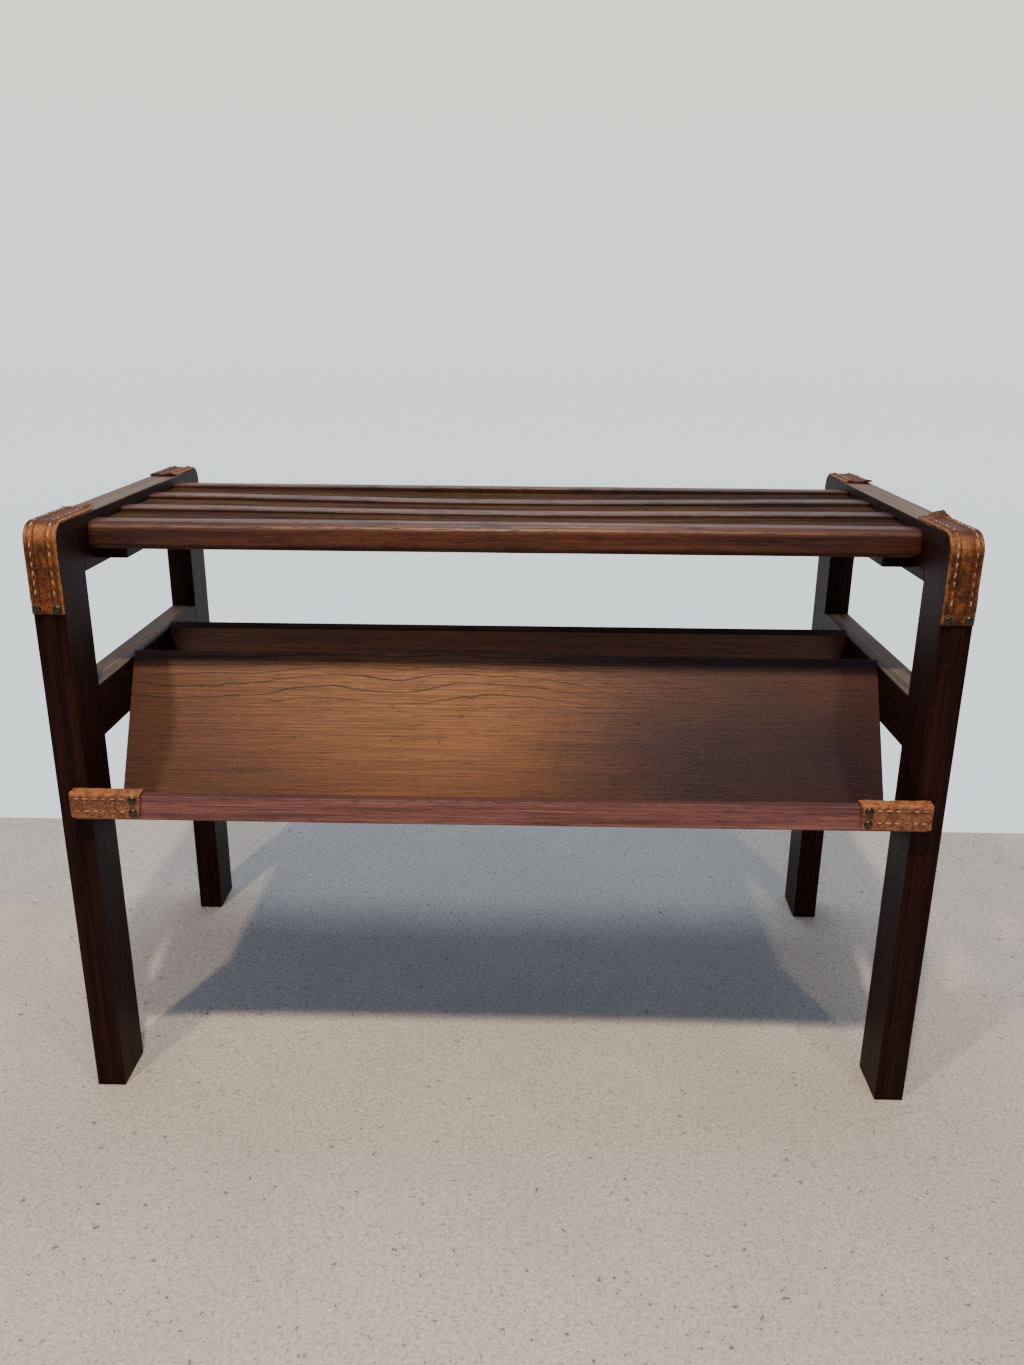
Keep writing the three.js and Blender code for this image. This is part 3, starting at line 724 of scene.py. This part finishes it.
def finish_piece(piece, material, slot, *nodes):
    """Gives a piece its material and hands it to the frame."""
    piece.data.materials.clear()
    piece.data.materials.append(material)
    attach(piece, "root")
    if nodes:
        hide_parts(*nodes)


def turned_copy(piece, name):
    """A copy of a piece with its own mesh, turned half round the middle of the rack."""
    activate(piece)
    bpy.ops.object.duplicate()
    copy = bpy.context.object
    copy.name = name
    copy.rotation_euler.z = math.pi
    apply_place(copy)
    return copy


def shade(piece, angle=40):
    """Smooth shading inside each face, with the flat faces kept flat."""
    activate(piece)
    bpy.ops.object.shade_smooth_by_angle(angle=math.radians(angle))
    modify(piece, "WEIGHTED_NORMAL", mode="FACE_AREA", weight=50, keep_sharp=True)


def cut_away(piece, low, high):
    """Takes the box between two corners out of a piece."""
    cutter = block("cutter", low, high)
    modify(piece, "BOOLEAN", object=cutter, operation="DIFFERENCE", solver="EXACT")
    bpy.data.objects.remove(cutter)


class Maker:
    """What every operator here shares: it runs its build and says that it finished."""

    bl_options = {"REGISTER", "UNDO"}

    def execute(self, context):
        self.build(context.scene)
        return {"FINISHED"}


class RACK_OT_legs(Maker, bpy.types.Operator):
    """Four square legs, each with its outer top corner rounded"""

    bl_idname = "rack.legs"
    bl_label = "Legs"

    def build(self, scene):
        wood = scene.rack_wood
        for seed, (hand, end) in enumerate(CORNERS):
            node = f"{hand}_{end}_leg"
            low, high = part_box(node)
            outer_y = low.y if end == "front" else high.y
            piece = block(node + "_wood", low, high)
            round_edges(
                piece, lambda co: near(co.y, outer_y) and near(co.z, high.z), wood.corner, ROUND_SEGMENTS
            )
            slices(piece, "z", evenly(low.z, high.z - wood.corner, wood.slice))
            wobble(piece, size=0.06, strength=wood.wobble)
            soften(piece, wood.ease * 0.7)
            finish_piece(piece, frame_wood(node, "z", 1.0 + seed), "frame_wood", node)


class RACK_OT_frame_rails(Maker, bpy.types.Operator):
    """Top and middle rails of the side frames, flush with the legs"""

    bl_idname = "rack.frame_rails"
    bl_label = "Frame rails"

    def build(self, scene):
        wood = scene.rack_wood
        for seed, hand in enumerate(HANDS):
            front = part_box(f"{hand}_front_leg")[1].y
            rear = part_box(f"{hand}_rear_leg")[0].y
            for level, height in enumerate(("top", "middle")):
                node = f"{hand}_{height}_rail"
                low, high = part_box(node)
                piece = block(
                    node + "_wood", (low.x, front + GAP, low.z), (high.x, rear - GAP, high.z)
                )
                slices(piece, "y", evenly(front, rear, wood.slice))
                wobble(piece, size=0.05, strength=wood.wobble * 0.6)
                soften(piece, wood.ease * 0.5)
                look = frame_wood(node, "y", 7.0 + seed + 3 * level, high.z)
                finish_piece(piece, look, "frame_wood", node)


def hang(piece, drop):
    """Lets a long piece sag between its ends."""
    if drop:
        half = max(vertex.co.x for vertex in piece.data.vertices)
        lift(piece, lambda co: abs(co.x) < 15 * MM, (0.0, 0.0, -drop), half, connected=False)


def bar(node, nose_y, wood, seed, drop):
    """A bar across the top. Its side face at nose_y, if any, is rounded above and below."""
    low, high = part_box(node)
    piece = block(node + "_wood", low, high)
    for y in (low.y, high.y):
        is_nose = y == nose_y
        radius = wood.nose if is_nose else wood.bar_ease
        segments = ROUND_SEGMENTS if is_nose else EASE_SEGMENTS
        for z in (high.z, low.z) if is_nose else (high.z,):
            round_edges(piece, lambda co: near(co.y, y) and near(co.z, z), radius, segments)
    slices(piece, "x", evenly(low.x, high.x, wood.slice))
    wobble(piece, size=0.05, strength=wood.wobble)
    hang(piece, drop)
    for hand in HANDS:
        batten_low, batten_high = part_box(f"{hand}_batten")
        cut_away(piece, batten_low - BATTEN_CLEARANCE, batten_high + BATTEN_CLEARANCE)
    shade(piece)
    grooves = [None if y == nose_y else y for y in (low.y, high.y)]
    look = top_wood(node, seed, polish=0.75, grooves=grooves)
    finish_piece(piece, look, "top_wood", node)


class RACK_OT_bars(Maker, bpy.types.Operator):
    """Four narrow bars across the top, the outer two with rounded noses"""

    bl_idname = "rack.bars"
    bl_label = "Bars"

    def build(self, scene):
        wood = scene.rack_wood
        front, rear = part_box("top_front_bar")[0].y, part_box("top_rear_bar")[1].y
        bar("top_front_bar", front, wood, seed=11.0, drop=0.0)
        bar("top_rear_bar", rear, wood, seed=14.3, drop=0.0)
        bar("top_middle_bar_1", None, wood, seed=12.1, drop=wood.sag * 0.8)
        bar("top_middle_bar_2", None, wood, seed=13.6, drop=wood.sag * 1.15)


class RACK_OT_boards(Maker, bpy.types.Operator):
    """Three wider boards between the bars, a little lower than they are"""

    bl_idname = "rack.boards"
    bl_label = "Boards"

    def build(self, scene):
        wood = scene.rack_wood
        for number, drop in ((1, 0.5), (2, 1.0), (3, 0.7)):
            node = f"top_board_{number}"
            low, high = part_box(node)
            piece = block(node + "_wood", low, high)
            slices(piece, "x", evenly(low.x, high.x, wood.slice))
            slices(piece, "y", evenly(low.y, high.y, BOARD_RIP))
            wobble(piece, size=0.04, strength=wood.wobble * 1.4)
            hang(piece, wood.sag * drop)
            soften(piece, wood.ease)
            look = top_wood(node, 20.0 + number * 1.7, polish=0.0)
            finish_piece(piece, look, "top_wood", node)


class RACK_OT_battens(Maker, bpy.types.Operator):
    """Two battens under the ends of the bars and boards, with their slotted screws"""

    bl_idname = "rack.battens"
    bl_label = "Battens"

    def build(self, scene):
        wood, leather = scene.rack_wood, scene.rack_leather
        for hand, side in HANDS.items():
            node = f"{hand}_batten"
            low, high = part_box(node)
            piece = block(node + "_wood", low, high)
            slices(piece, "y", evenly(low.y, high.y, wood.slice))
            wobble(piece, size=0.05, strength=wood.wobble * 0.6)
            soften(piece, wood.ease * 0.7)
            finish_piece(piece, frame_wood(node, "y", 30.0 + side), "top_wood", node)
            brass = metal(f"{hand}_screw_brass", tuple(leather.screw_colour), dull=0.25)
            for number in (1, 2, 3):
                self.screw(f"{hand}_batten_screw_{number}", side, brass)

    def screw(self, node, side, brass):
        low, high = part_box(node)
        radius = (high.y - low.y) / 2
        centre = (low + high) / 2
        face = low.x if side > 0 else high.x
        middle_x = face + side * SCREW_HEAD_HEIGHT / 2
        bpy.ops.object.select_all(action="DESELECT")
        bpy.ops.mesh.primitive_cylinder_add(
            vertices=32, radius=radius, depth=SCREW_HEAD_HEIGHT,
            location=(middle_x, centre.y, centre.z), rotation=(0.0, QUARTER, 0.0),
        )
        piece = bpy.context.object
        piece.name = node + "_head"
        apply_place(piece)
        half_slot = Vector((0.9, 0.45, radius / MM * 1.2)) * MM
        middle = Vector((face, centre.y, centre.z))
        cut_away(piece, middle - half_slot, middle + half_slot)
        soften(piece, 0.2 * MM, 2)
        finish_piece(piece, brass, "screw_brass", node)


def panel_frame(wood):
    """Where the front panel's outer upper edge is, and its length down the slope."""
    low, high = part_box("front_panel")
    sine, cosine = math.sin(wood.panel_slope), math.cos(wood.panel_slope)
    thickness = wood.panel_thickness
    edge = Vector((0.0, high.y - thickness * cosine, high.z))
    return edge, (high.z - low.z - thickness * sine) / cosine


class RACK_OT_panels(Maker, bpy.types.Operator):
    """Two sloping panels, and the ledges that join their feet to the rails"""

    bl_idname = "rack.panels"
    bl_label = "Panels and ledges"

    def build(self, scene):
        wood = scene.rack_wood
        edge, length_down = panel_frame(wood)
        board_low, board_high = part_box("top_board_1")
        left, right = board_low.x, board_high.x
        thickness = wood.panel_thickness
        panel = block("front_panel_wood", (left, 0.0, -length_down), (right, thickness, 0.0))
        slices(panel, "x", evenly(left, right, wood.slice * 1.5))
        slices(panel, "z", evenly(-length_down, 0.0, wood.slice * 1.5))
        wobble(panel, size=0.09, strength=wood.wobble * 0.8)
        soften(panel, wood.ease * 0.8)
        self.lean(panel, edge, wood)

        # The ledge is made too long, and is then cut upright at the back of the rail.
        ledge_low, ledge_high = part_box("front_ledge")
        reach = ledge_high.y - ledge_low.y + 2 * thickness
        ledge = block(
            "front_ledge_wood",
            (left, -reach, -length_down),
            (right, LEDGE_OVERLAP, thickness - length_down),
        )
        slices(ledge, "x", evenly(left, right, wood.slice * 1.5))
        self.lean(ledge, edge, wood)
        pick(ledge, "VERT", everywhere)
        bpy.ops.mesh.bisect(
            plane_co=(0.0, ledge_low.y, 0.0), plane_no=(0.0, 1.0, 0.0), use_fill=True, clear_inner=True
        )
        done()
        wobble(ledge, size=0.05, strength=wood.wobble * 0.4)
        soften(ledge, wood.ease * 0.5)

        rear_panel = turned_copy(panel, "rear_panel_wood")
        rear_ledge = turned_copy(ledge, "rear_ledge_wood")
        self.finish(panel, "front_panel", 1.0, 40.0, wood, edge)
        self.finish(ledge, "front_ledge", 1.0, 43.0, wood, edge)
        self.finish(rear_panel, "rear_panel", -1.0, 47.0, wood, edge)
        self.finish(rear_ledge, "rear_ledge", -1.0, 51.0, wood, edge)

    @staticmethod
    def lean(piece, edge, wood):
        """Tips a piece made upright at the origin into its place on the slope."""
        piece.rotation_euler.x = -wood.panel_slope
        piece.location = edge
        apply_place(piece)

    @staticmethod
    def finish(piece, node, facing, seed, wood, edge):
        """Turns the grain's frame so that Y runs down the panel from its upper edge and Z through it."""
        turn = QUARTER + facing * wood.panel_slope
        y, z = facing * edge.y, edge.z
        offset = (
            0.0,
            -(y * math.cos(turn) - z * math.sin(turn)),
            -(y * math.sin(turn) + z * math.cos(turn)),
        )
        material = panel_wood(node, seed, facing, (turn, 0.0, 0.0), offset)
        finish_piece(piece, material, "panel_wood", node)


class RACK_OT_rails(Maker, bpy.types.Operator):
    """The low rails on the faces of the legs, which hold the papers in"""

    bl_idname = "rack.rails"
    bl_label = "Rails"

    def build(self, scene):
        wood, leather = scene.rack_wood, scene.rack_leather
        for seed, end in enumerate(ENDS):
            node = f"{end}_rail"
            low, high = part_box(node)
            piece = block(node + "_wood", low, high)
            slices(piece, "x", evenly(low.x, high.x, wood.slice))
            wobble(piece, size=0.05, strength=wood.wobble)
            soften(piece, wood.ease * 1.1)
            finish_piece(piece, rail_wood(node, 60.0 + 3 * seed, high.z), "rail_wood", node)
            brass = metal(f"{end}_rail_brass", tuple(leather.screw_colour), dull=0.25)
            for hand in HANDS:
                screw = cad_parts[f"{end}_rail_screw_{hand}"]
                screw.data.materials.clear()
                screw.data.materials.append(brass)


def bent_path(flat, radius, drop):
    """A line that runs level along +X, turns down round an arc, and drops."""
    bpy.ops.object.select_all(action="DESELECT")
    bpy.ops.curve.primitive_bezier_curve_add()
    path = bpy.context.object
    path.data.resolution_u = 32
    path.data.twist_mode = "MINIMUM"
    points = path.data.splines[0].bezier_points
    points.add(2)
    pull = radius * ARC_HANDLE
    far = flat + radius
    stations = (
        ((-flat / 3, 0), (0, 0), (flat / 3, 0)),
        ((flat * 2 / 3, 0), (flat, 0), (flat + pull, 0)),
        ((far, pull - radius), (far, -radius), (far, -radius - drop / 3)),
        ((far, -radius - drop * 2 / 3), (far, -radius - drop), (far, -radius - drop * 4 / 3)),
    )
    for point, (left, middle, right) in zip(points, stations):
        point.handle_left_type = point.handle_right_type = "FREE"
        point.co = (middle[0], 0.0, middle[1])
        point.handle_left = (left[0], 0.0, left[1])
        point.handle_right = (right[0], 0.0, right[1])
    apply_place(path)
    return path


def stitch_row(name, start, end, y, z, leather, slant):
    """A straight row of stitches along X, sunk a little into the leather."""
    pitch = leather.stitch_pitch
    bpy.ops.object.select_all(action="DESELECT")
    bpy.ops.mesh.primitive_uv_sphere_add(segments=8, ring_count=6, radius=0.5)
    row = bpy.context.object
    row.name = name
    row.scale = (leather.stitch_length, leather.thread, leather.thread)
    row.rotation_euler.z = slant
    row.location = (start + pitch / 2, y, z)
    apply_place(row)
    modify(
        row, "ARRAY", count=max(1, int((end - start) / pitch)), use_relative_offset=False,
        use_constant_offset=True, constant_offset_displace=(pitch, 0.0, 0.0),
    )
    return row


class RACK_OT_corner_caps(Maker, bpy.types.Operator):
    """Stitched leather straps over the four top corners, with tacks at their low ends"""

    bl_idname = "rack.corner_caps"
    bl_label = "Corner caps"

    def build(self, scene):
        wood, leather = scene.rack_wood, scene.rack_leather
        for seed, (hand, end) in enumerate(CORNERS):
            self.cap(hand, end, seed, wood, leather)

    def cap(self, hand, end, seed, wood, leather):
        node = f"{hand}_{end}_corner_cap"
        low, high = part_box(node)
        leg_low, leg_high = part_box(f"{hand}_{end}_leg")
        radius = wood.corner + GAP
        reach = high.y - leg_low.y if end == "front" else leg_high.y - low.y
        flat = reach - wood.corner
        drop = leg_high.z - wood.corner - low.z
        total = flat + radius * QUARTER + drop
        width = high.x - low.x
        strap = self.strap(f"{hand}_{end}_corner_leather", total, width, seed, leather)
        stitches = self.stitches(f"{hand}_{end}_corner_stitching", total, width, leather)
        path = bent_path(flat, radius, drop)
        middle = (low.x + high.x) / 2
        start = high.y if end == "front" else low.y
        for piece in (strap, stitches):
            modify(piece, "CURVE", object=path, deform_axis="POS_X")
            piece.rotation_euler.z = ENDS[end] * QUARTER
            piece.location = (middle, start, leg_high.z + GAP)
            apply_place(piece)
        bpy.data.objects.remove(path)
        shade(strap, angle=50)
        activate(stitches)
        bpy.ops.object.shade_smooth()
        shape = ("x", middle, width / 2, leather.border, high.z)
        tacks = tack_places(f"{hand}_{end}_corner_tack")
        grime_and_shade = 0.7 if hand == "right" else 0.15
        look = leather_finish(node, seed + 1.0, tacks, shape, grime_and_shade=grime_and_shade)
        finish_piece(strap, look, "leather", node)
        finish_piece(stitches, thread(node + "_thread"), "leather")

    @staticmethod
    def strap(name, total, width, seed, leather):
        """A flat strap from the origin along +X, which starts with its free end."""
        half = width / 2
        thick = leather.thickness
        border = leather.border
        strap = block(name, (0.0, -half, 0.0), (total, half, thick))
        # Heights of the top face in millimetres above its plane, by distance from the edge: the rim,
        # the outer score, the ridge that the stitches run on, and the inner score.
        profile = {
            0.0: -0.9,
            0.9 * MM: -0.15,
            2.5 * MM: 0.1,
            OUTER_SCORE: -0.45,
            3.9 * MM: 0.1,
            STITCH_INSET: 0.35,
            border - 0.9 * MM: 0.1,
            border: -0.75,
            border + 0.9 * MM: -0.35,
        }
        for inset in list(profile)[1:]:
            slices(strap, "y", (inset - half, half - inset))
        slices(strap, "y", (0.0,))
        slices(strap, "x", evenly(0.0, total, 2.0 * MM))

        def press(test, height):
            shift(strap, lambda co: test(co) and co.z > thick / 2, (0.0, 0.0, height * MM))

        for inset, height in profile.items():
            press(lambda co: near(half - abs(co.y), inset), height)
        press(lambda co: abs(co.y) < 1.0 * MM, -0.35)
        # A hem is pressed in above the tacks, and the low end is rounded off.
        for place, height in ((total - 9.4 * MM, -0.4), (total, -0.8)):
            press(lambda co: abs(co.x - place) < 1.0 * MM, height)

        # The free end on top is torn and curls up.
        scatter(strap, lambda co: co.x < 1.0 * MM, 0.7 * MM, uniform=0.3, normal=0.0, seed=seed)
        side = -1.0 if seed % 2 else 1.0

        def curl(test, by, reach):
            by = tuple(step * MM for step in by)
            lift(strap, lambda co: co.x < 2.0 * MM and test(co), by, reach * MM)

        curl(lambda co: co.y * side > half - 5.0 * MM, (0.0, 0.0, 1.6), 9)
        curl(lambda co: co.y * side < 3.0 * MM - half, (2.5, 0.0, 0.4), 12)
        if seed == TORN_CAP:
            curl(lambda co: -1.0 * MM < co.y < 6.0 * MM, (2.0, 0.0, 4.6), 6)
        wobble(strap, size=0.007, strength=0.8 * MM)
        return strap

    @staticmethod
    def stitches(name, total, width, leather):
        """Two rows for a flat strap, each stitch a little askew."""
        rows = []
        for side in (-1, 1):
            y = side * (width / 2 - STITCH_INSET)
            z = leather.thickness + STITCH_RISE
            slant = side * math.radians(7)
            rows.append(stitch_row(name, 10 * MM, total - 9 * MM, y, z, leather, slant))
        row = joined(rows, name)
        scatter(row, everywhere, STITCH_WANDER, uniform=0.5, normal=0.0, seed=3)
        return row


def tack_places(nodes):
    """Middles of the two tacks of a cap."""
    return [sum(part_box(f"{nodes}_{number}"), Vector()) / 2 for number in (1, 2)]


class RACK_OT_rail_caps(Maker, bpy.types.Operator):
    """Leather folded over the ends of both rails, with two rows of stitches"""

    bl_idname = "rack.rail_caps"
    bl_label = "Rail caps"

    def build(self, scene):
        leather = scene.rack_leather
        for seed, (hand, end) in enumerate(CORNERS):
            self.cap(hand, end, seed, leather)

    def cap(self, hand, end, seed, leather):
        node = f"{end}_rail_cap_{hand}"
        low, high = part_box(node)
        side, facing = HANDS[hand], ENDS[end]
        cap = block(node + "_leather", low, high)
        outer_x = high.x if side > 0 else low.x
        inner_x = low.x if side > 0 else high.x
        front_y = low.y if facing < 0 else high.y
        back_y = high.y if facing < 0 else low.y
        # Only the front, the top and the outer end are kept, as one folded skin.
        for test in (
            lambda co: near(co.z, low.z),
            lambda co: near(co.y, back_y),
            lambda co: near(co.x, inner_x),
        ):
            pick(cap, "FACE", test)
            bpy.ops.mesh.delete(type="FACE")
            done()
        slices(cap, "x", evenly(low.x, high.x, LEATHER_GRID))
        slices(cap, "z", evenly(low.z, high.z, LEATHER_GRID))
        slices(cap, "y", evenly(low.y, high.y, LEATHER_GRID))
        # The lower corner of its open end draws back.
        drawn = (side * 2.0 * MM, 0.0, 0.0)
        lift(cap, lambda co: near(co.x, inner_x) and co.z < low.z + 2 * MM, drawn, 16 * MM)

        def at_fold(co):
            return near(co.y, front_y) and (near(co.z, high.z) or near(co.x, outer_x))

        round_edges(cap, at_fold, FOLD_RADIUS, EASE_SEGMENTS)
        wobble(cap, size=0.008, strength=0.9 * MM)
        modify(cap, "SOLIDIFY", thickness=leather.thickness * 0.9, offset=-1.0)
        soften(cap, 0.8 * MM)
        # The rows stop short of the tacks at the open end.
        name = node + "_stitching"
        start = low.x + (11.5 * MM if side > 0 else 3 * MM)
        end_x = start + high.x - low.x - 13.5 * MM
        rows = []
        for share in ROW_HEIGHTS:
            z = low.z + (high.z - low.z) * share
            rows.append(stitch_row(name, start, end_x, front_y, z, leather, 0.0))
        row = joined(rows, name)
        scatter(row, everywhere, STITCH_WANDER, uniform=0.5, normal=0.0, seed=seed)
        bpy.ops.object.shade_smooth()
        # Its field runs between the two rows of stitches. A top far above it keeps its bend plain.
        shape = ("z", (low.z + high.z) / 2, (high.z - low.z) / 2, 6.0 * MM, 1.0)
        tacks = tack_places(f"{end}_rail_tack_{hand}")
        look = leather_finish(node, seed + 7.0, tacks, shape, wear=0.6)
        finish_piece(cap, look, "leather", node)
        finish_piece(row, thread(node + "_thread"), "leather")


class RACK_OT_tacks(Maker, bpy.types.Operator):
    """Domed tacks on the leather caps, each dented and a little askew"""

    bl_idname = "rack.tacks"
    bl_label = "Tacks"

    def build(self, scene):
        leather = scene.rack_leather
        random.seed(11)
        finish = metal("tack_metal", tuple(leather.tack_colour), dull=0.22)
        for hand, end in CORNERS:
            for number in (1, 2):
                self.tack(f"{hand}_{end}_corner_tack_{number}", end, leather, finish)
                self.tack(f"{end}_rail_tack_{hand}_{number}", end, leather, finish)

    @staticmethod
    def tack(node, end, leather, finish):
        low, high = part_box(node)
        facing = ENDS[end]
        radius, dome = leather.tack_radius, leather.tack_dome
        tip = low.y if facing < 0 else high.y
        centre = (low + high) / 2
        bpy.ops.object.select_all(action="DESELECT")
        bpy.ops.mesh.primitive_uv_sphere_add(segments=20, ring_count=14, radius=radius)
        piece = bpy.context.object
        piece.name = node + "_head"
        pick(piece, "VERT", everywhere)
        below = (0.0, 0.0, -0.1 * radius)
        bpy.ops.mesh.bisect(plane_co=below, plane_no=(0.0, 0.0, 1.0), use_fill=True, clear_inner=True)
        done()
        scatter(piece, everywhere, 0.10 * MM, uniform=0.0, normal=0.6, seed=random.randrange(999))
        piece.scale.z = dome / radius
        lean = [random.uniform(-0.10, 0.10) for _ in range(2)]
        piece.rotation_euler = (-facing * QUARTER + lean[0], lean[1], 0.0)
        piece.location = (centre.x, tip - facing * (dome - 0.5 * MM), centre.z)
        apply_place(piece)
        bpy.ops.object.shade_smooth_by_angle(angle=math.radians(50))
        finish_piece(piece, finish, "tack_metal", node)


class RACK_OT_stage(Maker, bpy.types.Operator):
    """Pale floor, soft studio light and the camera"""

    bl_idname = "rack.stage"
    bl_label = "Stage"

    def build(self, scene):
        stage = scene.rack_stage
        self.floor(stage)
        self.world(stage)
        warm = (1.0, 0.74, 0.50)
        target = (0.0, 0.0, 0.38)
        golden = (1.0, 0.79, 0.56)
        cool = (0.90, 0.96, 1.0)
        self.light("left_key", (-0.80, -1.20, 2.50), target, power=28.0, size=0.10, tint=warm)
        self.light("right_key", (0.80, -1.20, 2.50), target, power=13.0, size=0.10, tint=warm)
        self.light("middle_key", (-0.05, -1.15, 2.55), target, power=46.0, size=0.10, tint=golden)
        self.light("overhead", (0.0, 0.75, 2.60), target, power=22.0, size=1.0, tint=cool)
        self.camera(stage)

    @staticmethod
    def floor(stage):
        bpy.ops.object.select_all(action="DESELECT")
        width, depth = 6.0, 4.0
        bpy.ops.mesh.primitive_plane_add(size=1.0, location=(0.0, stage.wall - depth / 2, 0.0))
        floor = bpy.context.object
        floor.name = "floor"
        floor.scale = (width, depth, 1.0)
        apply_place(floor)
        s = Shader.material("floor_paint")
        here = s.place()
        fine = s.noise(here, 260.0, 5.0, 0.75)
        broad = s.noise(here, 6.0, 4.0, 0.6)
        grit = s.noise(here, 300.0, 2.0, 0.6).step(0.57, 0.64)
        pits = s.noise(here, 130.0, 3.0, 0.7).step(0.64, 0.68)
        pale = tuple(stage.floor_colour)
        dull, dark = (tuple(channel * share for channel in pale) for share in (0.90, 0.55))
        tone = s.mix(broad.step(0.3, 0.7), pale, dull)
        tone = s.mix(fine.step(0.38, 0.62, 0.60, 0.0), tone, dark)
        tone = s.mix(grit * 0.5, tone, (0.24, 0.23, 0.22))
        tone = s.mix(pits * 0.75, tone, (0.10, 0.09, 0.08))
        normal = s.bump(fine - pits * 0.5, 0.9, 0.003)
        floor.data.materials.append(s.surface(Base_Color=tone, Roughness=0.8, Normal=normal))

    @staticmethod
    def world(stage):
        """Pale walls: a bright one behind the rack, and a dim room in front of it."""
        s = Shader(bpy.data.worlds.new("studio"))
        _, backwards, upwards = s.split(s.add("ShaderNodeTexCoord", output="Generated"))
        tone = s.mix(backwards.step(-0.35, 0.55), stage.room_colour, stage.wall_colour)
        tone = s.mix(upwards.step(0.25, 0.65) * 0.9, tone, stage.ceiling_colour)
        backdrop = s.mix(upwards.step(-0.25, 0.30), stage.backdrop_low, stage.backdrop_high)
        seen = s.add("ShaderNodeLightPath", output="Is Camera Ray")
        tone = s.mix(seen, tone, backdrop)
        background = s.add("ShaderNodeBackground", None, {"Color": tone, "Strength": 1.0})
        bpy.context.scene.world = s.end("ShaderNodeOutputWorld", background)

    @staticmethod
    def light(name, place, target, power, size, tint):
        data = bpy.data.lights.new(name, "AREA")
        data.shape = "DISK"
        data.size = size
        data.energy = power
        data.color = tint
        lamp = bpy.data.objects.new(name, data)
        bpy.context.scene.collection.objects.link(lamp)
        lamp.location = place
        lamp.rotation_euler = (Vector(target) - Vector(place)).to_track_quat("-Z", "Y").to_euler()

    @staticmethod
    def camera(stage):
        data = bpy.data.cameras.new("camera")
        data.lens = stage.lens
        data.sensor_width = 36.0
        camera = bpy.data.objects.new("camera", data)
        bpy.context.scene.collection.objects.link(camera)
        camera.location = stage.eye
        turn = (
            Matrix.Rotation(stage.yaw, 4, "Z")
            @ Matrix.Rotation(QUARTER - stage.pitch, 4, "X")
            @ Matrix.Rotation(stage.roll, 4, "Z")
        )
        camera.rotation_euler = turn.to_euler()
        bpy.context.scene.camera = camera


class RACK_PT_panel(bpy.types.Panel):
    """Lists the steps of the build and the settings"""

    bl_idname = "RACK_PT_panel"
    bl_label = "Luggage rack"
    bl_space_type = "VIEW_3D"
    bl_region_type = "UI"
    bl_category = "Rack"

    def draw(self, context):
        for step in STEPS:
            self.layout.operator(step.bl_idname)
        for group in (context.scene.rack_wood, context.scene.rack_leather, context.scene.rack_stage):
            box = self.layout.box()
            for name in group.bl_rna.properties.keys():
                if name not in ("rna_type", "name"):
                    box.prop(group, name)


STEPS = (
    RACK_OT_legs,
    RACK_OT_frame_rails,
    RACK_OT_bars,
    RACK_OT_boards,
    RACK_OT_battens,
    RACK_OT_panels,
    RACK_OT_rails,
    RACK_OT_corner_caps,
    RACK_OT_rail_caps,
    RACK_OT_tacks,
    RACK_OT_stage,
)
GROUPS = {
    "rack_wood": RackWoodSettings,
    "rack_leather": RackLeatherSettings,
    "rack_stage": RackStageSettings,
}


def register():
    for group in GROUPS.values():
        bpy.utils.register_class(group)
    for name, group in GROUPS.items():
        setattr(bpy.types.Scene, name, PointerProperty(type=group))
    for step in STEPS:
        bpy.utils.register_class(step)
    bpy.utils.register_class(RACK_PT_panel)


def unregister():
    bpy.utils.unregister_class(RACK_PT_panel)
    for step in reversed(STEPS):
        bpy.utils.unregister_class(step)
    for name, group in GROUPS.items():
        delattr(bpy.types.Scene, name)
        bpy.utils.unregister_class(group)


def main():
    register()
    for step in STEPS:
        section, name = step.bl_idname.split(".")
        getattr(getattr(bpy.ops, section), name)()


if __name__ == "__main__":
    main()
